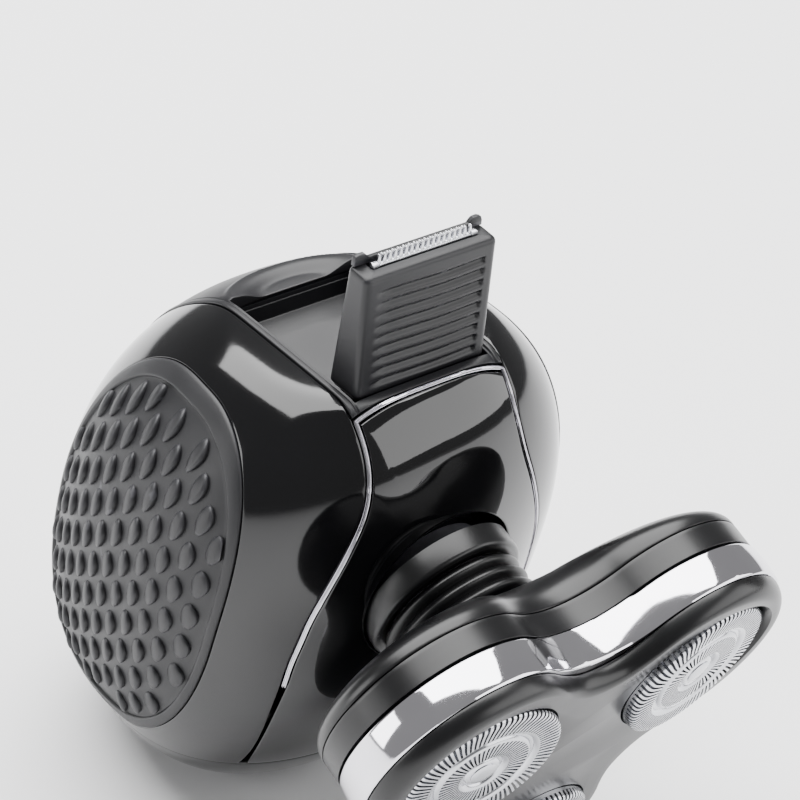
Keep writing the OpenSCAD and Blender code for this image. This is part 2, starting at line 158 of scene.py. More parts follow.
def read_loop(loop: np.ndarray, angle: np.ndarray, wanted: np.ndarray,
              corners: Sequence[float]) -> np.ndarray:
    """Read a loop at wanted angles, after moving the nearest of them onto its corners.

    Args:
        loop: N x 3 points.
        angle: The angle of each point.
        wanted: Angles to read at. Those nearest to corners are changed in place.
        corners: Angles that must be among them.

    Returns:
        One point for each wanted angle.
    """
    for corner in corners:
        wanted[np.argmin(np.abs(wanted - corner))] = corner
    order = np.argsort(angle)
    return np.stack([np.interp(wanted, angle[order], loop[order, i], period=2 * math.pi)
                     for i in range(3)], axis=-1)


# ---------------------------------------------------------------- mesh makers
def loft(rings: Sequence[np.ndarray], join_ends: bool = False, caps: bool = False) -> Shape:
    """Skin a stack of closed rings.

    Args:
        rings: Rings of equal length.
        join_ends: Whether the last ring joins the first.
        caps: Whether the two end rings are closed with a face each.

    Returns:
        Vertices and faces.
    """
    n = len(rings[0])
    verts = list(np.concatenate(rings))
    faces = []
    pairs = len(rings) if join_ends else len(rings) - 1
    for j in range(pairs):
        low, high = j * n, ((j + 1) % len(rings)) * n
        for i in range(n):
            k = (i + 1) % n
            faces.append([low + i, low + k, high + k, high + i])
    if caps:
        faces.append(list(range(n))[::-1])
        faces.append([(len(rings) - 1) * n + i for i in range(n)])
    return verts, faces


def slab(top: np.ndarray, under: np.ndarray, keep: np.ndarray, wrap: bool = False) -> Shape:
    """Close a grid of points and its underside into a solid, leaving out some cells.

    Args:
        top: R x C x 3 points of the outside.
        under: R x C x 3 points of the underside.
        keep: (R-1) x C or (R-1) x (C-1) flags, true where a cell is solid.
        wrap: Whether the last column joins the first.

    Returns:
        Vertices and faces.
    """
    rows, cols = top.shape[:2]
    shift = rows * cols
    verts = list(top.reshape(-1, 3)) + list(under.reshape(-1, 3))
    faces: list[list[int]] = []
    wide = cols if wrap else cols - 1

    def solid(r: int, c: int) -> bool:
        """Whether cell r, c exists and is kept.

        Args:
            r: The cell's row.
            c: The cell's column.

        Returns:
            True where it is solid.
        """
        if wrap:
            c %= cols
        return 0 <= r < rows - 1 and 0 <= c < wide and bool(keep[r, c])

    for r in range(rows - 1):
        for c in range(wide):
            if not keep[r, c]:
                continue
            d = (c + 1) % cols
            a, b, e, f = r * cols + c, r * cols + d, (r + 1) * cols + d, (r + 1) * cols + c
            faces.append([a, b, e, f])
            faces.append([f + shift, e + shift, b + shift, a + shift])
            if not solid(r - 1, c):
                faces.append([b, a, a + shift, b + shift])
            if not solid(r + 1, c):
                faces.append([f, e, e + shift, f + shift])
            if not solid(r, c - 1):
                faces.append([a, f, f + shift, a + shift])
            if not solid(r, c + 1):
                faces.append([e, b, b + shift, e + shift])
    return verts, faces


def revolve(profile: Sequence[tuple[float, float]], steps: int) -> Shape:
    """Turn a closed profile of (radius, height) round the Z axis."""
    angles = np.linspace(0, 2 * math.pi, steps, endpoint=False)
    return loft([polar(r, angles, z) for r, z in profile], join_ends=True)


def solid_turned(profile: Sequence[tuple[float, float]], steps: int) -> Shape:
    """Turn an open profile of (radius, height), closed with a flat face at each end."""
    angles = np.linspace(0, 2 * math.pi, steps, endpoint=False)
    return loft([polar(r, angles, z) for r, z in profile], caps=True)


def plate(outline: np.ndarray, thickness: float) -> Shape:
    """Extrude a flat outline upwards from z = 0."""
    flat = np.column_stack([outline, np.zeros(len(outline))])
    return loft([flat, flat + [0, 0, thickness]], caps=True)


def joined(shapes: Sequence[Shape]) -> Shape:
    """Put several shapes into one.

    Args:
        shapes: Vertices and faces of each.

    Returns:
        Vertices and faces.
    """
    verts: list[np.ndarray] = []
    faces: list[list[int]] = []
    for v, f in shapes:
        base = len(verts)
        verts.extend(v)
        faces.extend([[i + base for i in face] for face in f])
    return verts, faces


def moved(shape: Shape, place: Callable[[np.ndarray], np.ndarray]) -> Shape:
    """Pass every vertex of a shape through a placing function."""
    return list(place(np.array(shape[0]))), shape[1]


# ---------------------------------------------------------------- finishes
def linear(hex_colour: str) -> tuple[float, float, float, float]:
    """Turn an sRGB hex colour into linear RGBA.

    Args:
        hex_colour: The colour as #rrggbb.

    Returns:
        Red, green, blue and alpha.
    """
    parts = [int(hex_colour[i:i + 2], 16) / 255 for i in (1, 3, 5)]
    out = [c / 12.92 if c <= 0.04045 else ((c + 0.055) / 1.055) ** 2.4 for c in parts]
    return out[0], out[1], out[2], 1.0


def add_node(tree: bpy.types.NodeTree, kind: str, inputs: dict | None = None,
             **settings: object) -> bpy.types.Node:
    """Add one node with its settings and links.

    Args:
        tree: The node tree.
        kind: The node's type.
        inputs: Socket name or index to a value, or to the output socket that feeds it.
        settings: Properties of the node.

    Returns:
        The new node.
    """
    made = tree.nodes.new(kind)
    for key, value in settings.items():
        setattr(made, key, value)
    for key, value in (inputs or {}).items():
        if isinstance(value, bpy.types.NodeSocket):
            tree.links.new(value, made.inputs[key])
        else:
            made.inputs[key].default_value = value
    return made


class Grain(Enum):
    """How a finish's small pattern runs."""

    FINE = "even moulding texture"
    TURNED = "rings round the piece's own Z axis"
    BRUSHED = "long scratches across the body"
    TRACES = "copper tracks under lacquer"


@dataclass(frozen=True)
class Finish:
    """One real material and how its surface was made.

    Attributes:
        name: The material's name.
        dark: The darker end of its colour, in sRGB hex.
        light: The lighter end.
        roughness: Its middle roughness.
        spread: How far the roughness wanders either way.
        metallic: One for a metal.
        ior: Index of refraction.
        coat: Weight of a clear coat.
        coat_roughness: Roughness of that coat.
        grain_mm: Size of the fine grain. The finest skins are drawn coarser than life, so that they show.
        bump: Strength of the grain's relief.
        blotch_mm: Size of the slow change in colour and gloss.
        grain: How the grain runs.
        painted_edge_highlight: How far convex edges are lightened, as a painted highlight.
    """

    name: str
    dark: str
    light: str
    roughness: float
    spread: float = 0.04
    metallic: float = 0.0
    ior: float = 1.5
    coat: float = 0.0
    coat_roughness: float = 0.05
    grain_mm: float = 0.4
    bump: float = 0.05
    blotch_mm: float = 9.0
    grain: Grain = Grain.FINE
    painted_edge_highlight: float = 0.0

    def coordinates(self, tree: bpy.types.NodeTree) -> bpy.types.NodeSocket:
        """Return the coordinates that the grain is drawn in, in metres.

        Args:
            tree: The material's node tree.

        Returns:
            The output socket that carries them.
        """
        spot = add_node(tree, "ShaderNodeTexCoord").outputs["Object"]
        if self.grain is Grain.BRUSHED:
            return add_node(tree, "ShaderNodeVectorMath", {0: spot, 1: (0.04, 1.0, 1.0)},
                            operation="MULTIPLY").outputs[0]
        if self.grain is Grain.TURNED:
            split = add_node(tree, "ShaderNodeSeparateXYZ", {0: spot}).outputs
            flat = add_node(tree, "ShaderNodeCombineXYZ", {0: split[0], 1: split[1]}).outputs[0]
            far = add_node(tree, "ShaderNodeVectorMath", {0: flat}, operation="LENGTH").outputs["Value"]
            return add_node(tree, "ShaderNodeCombineXYZ", {0: far, 1: 0.0, 2: split[2]}).outputs[0]
        return spot

    def build(self) -> bpy.types.Material:
        """Build the node material.

        Returns:
            The material, named for the finish.
        """
        material = bpy.data.materials.new(self.name)
        material.use_nodes = True
        tree = material.node_tree
        tree.nodes.clear()
        where = self.coordinates(tree)
        fine = add_node(tree, "ShaderNodeTexNoise", {"Vector": where, "Scale": 1 / (self.grain_mm * MM),
                                                     "Detail": 3.0, "Roughness": 0.6}).outputs[0]
        broad = add_node(tree, "ShaderNodeTexNoise", {"Vector": where, "Scale": 1 / (self.blotch_mm * MM),
                                                      "Detail": 4.0, "Roughness": 0.55}).outputs[0]
        tone = add_node(tree, "ShaderNodeMapRange", {0: broad, 1: 0.3, 2: 0.7, 3: 0.0, 4: 1.0}).outputs[0]
        colour = add_node(tree, "ShaderNodeMix", {0: tone, 6: linear(self.dark), 7: linear(self.light)},
                          data_type="RGBA").outputs[2]
        if self.grain is Grain.TRACES:
            colour = self.traces(tree, where, colour)
        # Convex edges get a painted highlight: the colour is lightened there.
        if self.painted_edge_highlight > 0:
            colour = self.paint_edge_highlights(tree, colour)
        gloss = add_node(tree, "ShaderNodeMapRange", {0: broad, 1: 0.25, 2: 0.75,
                                                      3: max(self.roughness - self.spread, 0.01),
                                                      4: self.roughness + self.spread}).outputs[0]
        grain_height = 0.3 * self.grain_mm * MM
        relief = add_node(tree, "ShaderNodeBump", {"Height": fine, "Strength": self.bump,
                                                   "Distance": grain_height}).outputs[0]
        shader = add_node(tree, "ShaderNodeBsdfPrincipled", {
            "Base Color": colour, "Roughness": gloss, "Normal": relief, "Metallic": self.metallic,
            "IOR": self.ior, "Coat Weight": self.coat, "Coat Roughness": self.coat_roughness}).outputs[0]
        add_node(tree, "ShaderNodeOutputMaterial", {"Surface": shader})
        return material

    def traces(self, tree: bpy.types.NodeTree, where: bpy.types.NodeSocket,
               colour: bpy.types.NodeSocket) -> bpy.types.NodeSocket:
        """Lay copper tracks over the board's colour.

        Args:
            tree: The material's node tree.
            where: The coordinates' socket.
            colour: The board's colour socket.

        Returns:
            The socket of the mixed colour.
        """
        track_mm = 7.54
        waves_per_scale = 20 / (2 * math.pi)
        scale = 1 / (track_mm * MM * waves_per_scale)
        waves = add_node(tree, "ShaderNodeTexWave",
                         {"Vector": where, "Scale": scale, "Distortion": 6.0}).outputs[1]
        track = add_node(tree, "ShaderNodeMath", {0: waves, 1: 0.62}, operation="GREATER_THAN").outputs[0]
        return add_node(tree, "ShaderNodeMix", {0: track, 6: colour, 7: linear("#6f8a3c")},
                        data_type="RGBA").outputs[2]

    def paint_edge_highlights(self, tree: bpy.types.NodeTree, colour: bpy.types.NodeSocket) -> bpy.types.NodeSocket:
        """Paint a highlight on edges that stand out by lightening the colour there.

        Args:
            tree: The material's node tree.
            colour: The colour's socket.

        Returns:
            The socket of the lightened colour.
        """
        convex = add_node(tree, "ShaderNodeNewGeometry").outputs["Pointiness"]
        edge = add_node(tree, "ShaderNodeMapRange", {0: convex, 1: 0.53, 2: 0.62, 3: 0.0,
                                                     4: self.painted_edge_highlight}).outputs[0]
        return add_node(tree, "ShaderNodeMix", {0: edge, 6: colour, 7: linear("#6a6a70")},
                        data_type="RGBA").outputs[2]


# Lacquered ABS, polished mould: deep black that only shows what it reflects
GLOSS_SHELL = Finish("lacquered_abs_shell", "#050506", "#09090b", 0.09, 0.02, coat=0.15, coat_roughness=0.03,
                     grain_mm=1.6, bump=0.012, blotch_mm=22, ior=1.46)
# Satin moulded ABS: an even fine spark-eroded skin that greys the highlights, with a painted highlight on its
# edges
SATIN_ABS = Finish("satin_abs", "#0f0f12", "#151518", 0.4, 0.05, grain_mm=0.16, bump=0.16, blotch_mm=12,
                   ior=1.42, painted_edge_highlight=0.3)
# Softer satin lacquer on the head's covers: broad dim highlights
SATIN_LACQUER = Finish("satin_lacquer", "#060607", "#0a0a0c", 0.3, 0.04, grain_mm=0.14, bump=0.08,
                       blotch_mm=14, ior=1.44)
# High-gloss acrylic front panel: mirror-like, a little lighter than the shells
PANEL_ACRYLIC = Finish("gloss_acrylic_panel", "#060607", "#0a0a0c", 0.05, 0.012, coat=0.3,
                       coat_roughness=0.015, grain_mm=2.4, bump=0.006, blotch_mm=26, ior=1.49)
# Thermoplastic rubber overmould: dull, with a faint bloom and a painted highlight on its edges
GRIP_RUBBER = Finish("thermoplastic_rubber", "#0d0d10", "#141417", 0.5, 0.06, grain_mm=0.2, bump=0.2,
                     blotch_mm=7, ior=1.46, painted_edge_highlight=0.25)
# Silicone sleeve: soft black with a slight oily sheen
BELLOWS_SILICONE = Finish("silicone_sleeve", "#050506", "#09090a", 0.34, 0.06, grain_mm=0.25, bump=0.06,
                          blotch_mm=6, ior=1.42)
# Chromium plate on ABS: bright, faintly cool
CHROME_PLATE = Finish("chromium_plate", "#dedce2", "#e8e7ec", 0.07, 0.02, metallic=1.0, grain_mm=1.2,
                      bump=0.008, blotch_mm=16)
# Stamped and tumbled stainless steel: bright rings from turning, dull in the slots
FOIL_STAINLESS = Finish("stainless_foil", "#b4b5ba", "#d2d3d7", 0.2, 0.06, metallic=1.0, grain_mm=0.22,
                        bump=0.06, blotch_mm=1.6, grain=Grain.TURNED)
# Ground blade steel: long fine scratches across the comb
BLADE_STEEL = Finish("ground_blade_steel", "#c2c3c8", "#dcdde1", 0.22, 0.05, metallic=1.0, grain_mm=0.18,
                     bump=0.08, blotch_mm=3, grain=Grain.BRUSHED)
# Rolled spring steel
SPRING_STEEL = Finish("spring_steel", "#8b8d92", "#a6a8ad", 0.3, 0.06, metallic=1.0, grain_mm=0.2, bump=0.08,
                      blotch_mm=4, grain=Grain.BRUSHED)
# Zinc-plated motor can
MOTOR_CAN = Finish("zinc_plated_can", "#83858a", "#9b9da2", 0.34, 0.07, metallic=1.0, grain_mm=0.5, bump=0.1,
                   blotch_mm=5)
# Glass-filled nylon: flecked grey with a matte skin
INNER_NYLON = Finish("glass_filled_nylon", "#3b3b40", "#4a4a50", 0.55, 0.08, grain_mm=0.35, bump=0.25,
                     blotch_mm=2.5)
# Acetal gears: milky and slightly waxy
ACETAL = Finish("acetal_gear", "#cfcab8", "#dedac9", 0.38, 0.05, grain_mm=0.4, bump=0.06, blotch_mm=3,
                ior=1.48)
# Solder mask over glass-epoxy board
BOARD_MASK = Finish("solder_mask_board", "#1d4a2a", "#255a34", 0.3, 0.05, grain_mm=0.5, bump=0.1,
                    blotch_mm=4, grain=Grain.TRACES)
# Shrunk PVC sleeve round the cell
CELL_SLEEVE = Finish("pvc_cell_sleeve", "#2c5a86", "#376a99", 0.28, 0.05, grain_mm=0.9, bump=0.1, blotch_mm=8)
# Smoked polycarbonate light window
WINDOW_SMOKE = Finish("smoked_polycarbonate", "#3a4650", "#4a5863", 0.08, 0.02, coat=1.0, grain_mm=1.0,
                      bump=0.01, blotch_mm=5, ior=1.58)


# ---------------------------------------------------------------- the bench
@dataclass
class Bench:
    """What every sub-assembly works with: the frame, the design origin and the finishes."""

    frame: dict
    origin: np.ndarray = field(init=False)
    materials: dict[str, bpy.types.Material] = field(default_factory=dict)

    def __post_init__(self) -> None:
        """Find the design origin from the trimmer's front face and the spine's crown."""
        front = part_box("trimmer_housing")[0].y
        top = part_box("spine")[1].z
        self.origin = np.array([0.0, front, top - SKIN.crown * MM])

    def material(self, finish: Finish) -> bpy.types.Material:
        """Build a finish once and hand it out.

        Args:
            finish: The finish.

        Returns:
            Its material.
        """
        if finish.name not in self.materials:
            self.materials[finish.name] = finish.build()
        return self.materials[finish.name]

    def matrix(self, turned: np.ndarray, offset: np.ndarray) -> Matrix:
        """Turn a design-frame placing into an object matrix in metres.

        Args:
            turned: 3x3 rotation.
            offset: Place of the piece's own origin, in mm.

        Returns:
            The object's world matrix.
        """
        made = Matrix(turned.tolist()).to_4x4()
        made.translation = Vector((offset * MM + self.origin).tolist())
        return made

    def piece(self, name: str, shape: Shape, finish: Finish, body: str | None, stands_for: Sequence[str],
              slot: str, at: Matrix | None = None, bevel: float = 0.0, sharp: float = 35.0,
              cutters: Sequence[Shape] = ()) -> bpy.types.Object:
        """Make one piece and hand it to its body.

        Args:
            name: The piece's name.
            shape: Vertices in mm and faces.
            finish: Its finish.
            body: The body that it rides on, or None to leave it on no body, as for the sleeve between two.
            stands_for: CAD nodes that it replaces.
            slot: The record's material slot; not used.
            at: Object matrix where the shape is drawn on an axis of its own.
            bevel: Width of the rounded edges in mm, or 0 for none.
            sharp: Edges sharper than this many degrees shade as edges.
            cutters: Shapes cut out of it.

        Returns:
            The finished object.
        """
        piece = self.mesh_object(name, shape, local=at is not None)
        for k, cutter in enumerate(cutters):
            tool = self.mesh_object(f"{name}_cutter_{k}", cutter, local=at is not None)
            cut = piece.modifiers.new("cut", "BOOLEAN")
            cut.object, cut.operation, cut.solver = tool, "DIFFERENCE", "EXACT"
        if bevel:
            edge = piece.modifiers.new("edge", "BEVEL")
            edge.width, edge.segments, edge.limit_method = bevel * MM, 3, "ANGLE"
            edge.angle_limit, edge.use_clamp_overlap = math.radians(40), True
        if piece.modifiers:
            self.bake(piece)
        piece.data.set_sharp_from_angle(angle=math.radians(sharp))
        piece.data.materials.append(self.material(finish))
        if at is not None:
            piece.matrix_world = at
        if body is not None:
            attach(piece, body)
        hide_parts(*stands_for)
        LOG.info("%s: %d faces, %s", name, len(piece.data.polygons), finish.name)
        return piece

    def mesh_object(self, name: str, shape: Shape, local: bool) -> bpy.types.Object:
        """Make a smooth closed mesh object from a shape in mm.

        Args:
            name: The object's name.
            shape: Vertices in mm and faces.
            local: Whether the shape is drawn on an axis of its own.

        Returns:
            The object.
        """
        verts = np.array(shape[0]) * MM + (0 if local else self.origin)
        mesh = bpy.data.meshes.new(name)
        mesh.from_pydata(verts.tolist(), [], shape[1])
        work = bmesh.new()
        work.from_mesh(mesh)
        bmesh.ops.remove_doubles(work, verts=work.verts, dist=WELD)
        bmesh.ops.recalc_face_normals(work, faces=work.faces)
        work.to_mesh(mesh)
        work.free()
        mesh.polygons.foreach_set("use_smooth", [True] * len(mesh.polygons))
        made = bpy.data.objects.new(name, mesh)
        bpy.context.scene.collection.objects.link(made)
        return made

    def bake(self, piece: bpy.types.Object) -> None:
        """Apply a piece's modifiers and throw its cutters away.

        Args:
            piece: The object.
        """
        bpy.context.view_layer.update()
        graph = bpy.context.evaluated_depsgraph_get()
        mesh = bpy.data.meshes.new_from_object(piece.evaluated_get(graph))
        tools = [m.object for m in piece.modifiers if m.type == "BOOLEAN"]
        piece.modifiers.clear()
        piece.data = mesh
        mesh.polygons.foreach_set("use_smooth", [True] * len(mesh.polygons))
        for tool in tools:
            bpy.data.objects.remove(tool)

    def dress(self, finish: Finish, *nodes: str) -> None:
        """Give CAD nodes that stay visible their finish.

        Args:
            finish: The finish.
            nodes: Names of the CAD nodes.
        """
        for name in nodes:
            node = self.frame["nodes"][name]
            node.data.materials.clear()
            node.data.materials.append(self.material(finish))
            node.data.set_sharp_from_angle(angle=math.radians(35))
            LOG.info("%s keeps its shape, %s", name, finish.name)


# ---------------------------------------------------------------- the body's surface
@dataclass(frozen=True)
class Skin:
    """The body's outer surface: an egg that leans back, flat on top and underneath.

    Attributes:
        half_w: Half its width.
        front: Its reach forwards from the middle.
        back: Its reach backwards.
        half_h: Half its height before it is flattened.
        lean: How far it leans back for each mm of height.
        mid: Its middle.
        upright: Exponent of its side view; 2 is an ellipse and more is squarer.
        plan: Exponent of its plan view.
        crown: Height of the flat top.
        foot: Height of the flat underside.
        softness: How gently the flats meet the egg.
        wall: Thickness of the mouldings.
        core_front: Where rays to the front start.
        core_back: Where rays to the back start.
        core_low: Where rays to the top start.
        beyond: A ray length that is always outside.
        halvings: Steps of the search along a ray.
    """

    half_w: float = 35.3
    front: float = 27.9
    back: float = 38.0
    half_h: float = 43.6
    lean: float = 0.21
    mid: tuple[float, float, float] = (0.0, 20.2, -39.0)
    upright: float = 2.4
    plan: float = 2.35
    crown: float = 0.4
    foot: float = -80.0
    softness: float = 0.45
    wall: float = 1.6
    core_front: float = 20.0
    core_back: float = 22.0
    core_low: float = -20.0
    beyond: float = 140.0
    halvings: int = 44

    def level(self, points: np.ndarray) -> tuple[np.ndarray, np.ndarray]:
        """Egg function and its gradient.

        Args:
            points: ... x 3 points.

        Returns:
            Values, one on the surface, and gradients.
        """
        local = points - np.array(self.mid)
        x, z = local[..., 0], local[..., 2]
        y = local[..., 1] + self.lean * z
        reach = np.where(y < 0, self.front, self.back)
        p, u = self.plan, self.upright
        plan = np.maximum((np.abs(x) / self.half_w) ** p + (np.abs(y) / reach) ** p, 1e-12)
        value = plan ** (u / p) + (np.abs(z) / self.half_h) ** u
        lead = u * plan ** (u / p - 1)
        gx = lead * np.sign(x) * np.abs(x) ** (p - 1) / self.half_w ** p
        gy = lead * np.sign(y) * np.abs(y) ** (p - 1) / reach ** p
        gz = u * np.sign(z) * np.abs(z) ** (u - 1) / self.half_h ** u + self.lean * gy
        return value, np.stack([gx, gy, gz], axis=-1)

    def settle(self, points: np.ndarray, lift: float | np.ndarray = 0.0) -> np.ndarray:
        """Flatten egg points at crown and foot, then lift them along the normal.

        Args:
            points: ... x 3 points on the egg.
            lift: How far to lift each, in mm.

        Returns:
            The points on the body's surface.
        """
        _, slope = self.level(points)
        z, w = points[..., 2], self.softness
        high = -w * np.logaddexp(-z / w, -self.crown / w)
        low = w * np.logaddexp(high / w, self.foot / w)
        give = 1 / (1 + np.exp(np.clip((z - self.crown) / w, -40, 40)))
        give = np.maximum(give / (1 + np.exp(np.clip((self.foot - z) / w, -40, 40))), 1e-3)
        normal = unit(slope * np.stack([give, give, np.ones_like(give)], axis=-1))
        out = points.copy()
        out[..., 2] = low
        return out + normal * np.asarray(lift)[..., None]

    def project(self, points: np.ndarray, lift: float | np.ndarray = 0.0) -> np.ndarray:
        """Pull points radially onto the surface.

        Args:
            points: ... x 3 points near the surface.
            lift: How far to lift each, in mm.

        Returns:
            The points on the body's surface.
        """
        value, _ = self.level(points)
        mid = np.array(self.mid)
        return self.settle(mid + (points - mid) * (value ** (-1 / self.upright))[..., None], lift)

    def hit(self, start: np.ndarray, heading: np.ndarray) -> np.ndarray:
        """Find where rays from inside meet the egg, before it is flattened.

        Args:
            start: ... x 3 points inside.
            heading: ... x 3 directions.

        Returns:
            The points on the egg.
        """
        start, heading = np.broadcast_arrays(start, heading)
        low, high = np.zeros(start.shape[:-1]), np.full(start.shape[:-1], self.beyond)
        for _ in range(self.halvings):
            middle = (low + high) / 2
            inside = self.level(start + heading * middle[..., None])[0] < 1
            low, high = np.where(inside, middle, low), np.where(inside, high, middle)
        return start + heading * low[..., None]

    def meet(self, heading: Sequence[float], x: np.ndarray | float, y: np.ndarray | float,
             z: np.ndarray | float) -> np.ndarray:
        """The egg where rays from x, y and z meet it."""
        return self.hit(np.stack(np.broadcast_arrays(x, y, z), axis=-1), np.array(heading))

    def front_at(self, x: np.ndarray | float, z: np.ndarray | float) -> np.ndarray:
        """The egg's front at x and z."""
        return self.meet(FRONT, x, self.core_front, z)

    def back_at(self, x: np.ndarray | float, z: np.ndarray | float) -> np.ndarray:
        """The egg's back at x and z."""
        return self.meet(BACK, x, self.core_back, z)

    def top_at(self, x: np.ndarray | float, y: np.ndarray | float) -> np.ndarray:
        """The egg's top at x and y."""
        return self.meet(UP, x, y, self.core_low)

    def left_at(self, y: np.ndarray | float, z: np.ndarray | float) -> np.ndarray:
        """The egg's left side at y and z."""
        return self.meet(LEFT, 0.0, y, z)

    def band(self, inner: np.ndarray, outer: np.ndarray, rows: int, roll: float) -> Shape:
        """A closed sheet on the skin between two loops, with rolled edges.

        Args:
            inner: N x 3 inner loop.
            outer: N x 3 outer loop.
            rows: Rows of points between them.
            roll: Radius of the edges.

        Returns:
            Vertices and faces.
        """
        out = unit(outer - inner)
        first, last = inner + out * roll, outer - out * roll
        blend = np.linspace(0, 1, rows)
        rings = [self.project(first + (last - first) * t) for t in blend]
        under = [self.project(first + (last - first) * t, -self.wall) for t in blend[::-3]]
        return loft(self.rolled(rings[0], under[-1], -out, roll)[::-1] + rings
                    + self.rolled(rings[-1], under[0], out, roll) + under, join_ends=True)

    @staticmethod
    def rolled(edge: np.ndarray, under: np.ndarray, out: np.ndarray, roll: float) -> list[np.ndarray]:
        """Rings that round an edge over, from the surface down to the wall's depth.

        Args:
            edge: N x 3 points of the sheet's edge.
            under: The same edge of the underside.
            out: Which way the edge faces.
            roll: Radius of the edge.

        Returns:
            The rings, from the outside in.
        """
        down = unit(under - edge)
        out = unit(out - down * (out * down).sum(axis=-1, keepdims=True))
        turns = np.radians([25, 50, 75, 90])
        rings = [edge + out * roll * math.sin(a) + down * roll * (1 - math.cos(a)) for a in turns]
        return rings + [under + out * roll]


SKIN = Skin()
BIB_OUTLINE = [(3.0, 13.15), (-6.0, 13.15), (-9.0, 13.5), (-13.0, 14.4), (-17.5, 16.3), (-24.0, 18.9),
               (-30.0, 20.8), (-39.0, 21.9), (-50.0, 22.0), (-66.0, 21.0)]


def bib_half(z: np.ndarray | float) -> np.ndarray:
    """Half the front panel's width at height z, rounded between its corner points.

    Args:
        z: Heights in mm.

    Returns:
        Half widths in mm.
    """
    heights = np.array([p[0] for p in BIB_OUTLINE][::-1])
    widths = np.array([p[1] for p in BIB_OUTLINE][::-1])
    spread = np.linspace(-2.4, 2.4, 13)
    return np.mean([np.interp(np.asarray(z) + s, heights, widths) for s in spread], axis=0)


@dataclass(frozen=True)
class HeadAxis:
    """The head's own axis: local z runs outwards from the foot of the neck.

    Attributes:
        droop: How far the axis dips below level, in degrees.
        foot: Its origin.
        lobes: Angle of each lobe and its cutter, in degrees.
        lobe_r: Radius of a lobe.
        valley_r: Radius of the fillet between two lobes.
        gear_centres: Distance of the cutters' gears from the axis.
        foil_tilt: How far each foil leans outwards, in degrees.
        foil_s: Station of the foils' faces.
        ball_depth: How far behind its face a foil's tilt is centred.
    """

    droop: float = 19.6
    foot: tuple[float, float, float] = (0.0, -12.0, -32.1)
    lobes: tuple[float, float, float] = (30.0, 150.0, 270.0)
    lobe_r: float = 16.3
    valley_r: float = 15.0
    gear_centres: float = 21.6
    foil_tilt: float = 5.7
    foil_s: float = 28.0
    ball_depth: float = 5.6

    @property
    def turned(self) -> np.ndarray:
        """Rotation from the head's axis to the design frame."""
        return turn("x", 90 + self.droop)

    @property
    def foil_centres(self) -> float:
        """Distance of the foils' centres from the axis."""
        return self.gear_centres + self.ball_depth * math.tan(math.radians(self.foil_tilt))

    def place(self, points: np.ndarray) -> np.ndarray:
        """Move points from the head's axis to the design frame."""
        return points @ self.turned.T + np.array(self.foot)

    def cutter(self, k: int) -> tuple[np.ndarray, np.ndarray]:
        """Rotation and place of cutter k's own axis; its origin is on the foil's face.

        Args:
            k: The cutter's number, from 0.

        Returns:
            A 3x3 rotation, and the axis's origin.
        """
        side = turn("z", self.lobes[k])
        ball = side @ np.array([self.gear_centres, 0, 0]) + [0, 0, self.foil_s - self.ball_depth]
        local = side @ turn("y", self.foil_tilt)
        centre = ball + local @ np.array([0, 0, self.ball_depth])
        return self.turned @ local, self.place(centre)

    def valley(self, angles: np.ndarray) -> np.ndarray:
        """How deep an angle lies in a valley: 0 on a lobe's middle, 1 in a valley's middle."""
        off = np.degrees(angles) - self.lobes[0]
        return np.abs((off + 60) % 120 - 60) / 60

    def outline(self, angles: np.ndarray, radius: float) -> np.ndarray:
        """Distance from the axis to an outline of three lobes joined by filleted valleys.

        Args:
            angles: Polar angles in radians.
            radius: Radius of each lobe.

        Returns:
            One distance for each angle.
        """
        centre, reach = self.foil_centres, radius + self.valley_r
        fillet = (centre + math.sqrt(4 * reach ** 2 - 3 * centre ** 2)) / 2
        fx, fy = fillet / 2, fillet * math.sqrt(3) / 2
        tangent = math.atan2(fy, fx - centre)
        change = math.atan2(radius * math.sin(tangent), centre + radius * math.cos(tangent))
        off = self.valley(angles) * math.pi / 3
        lobe = centre * np.cos(off) + np.sqrt(np.maximum(radius ** 2 - (centre * np.sin(off)) ** 2, 0))
        other = math.pi / 3 - off
        valley = fillet * np.cos(other) - np.sqrt(
            np.maximum(self.valley_r ** 2 - (fillet * np.sin(other)) ** 2, 0))
        return np.where(off < change, lobe, valley)


HEAD = HeadAxis()


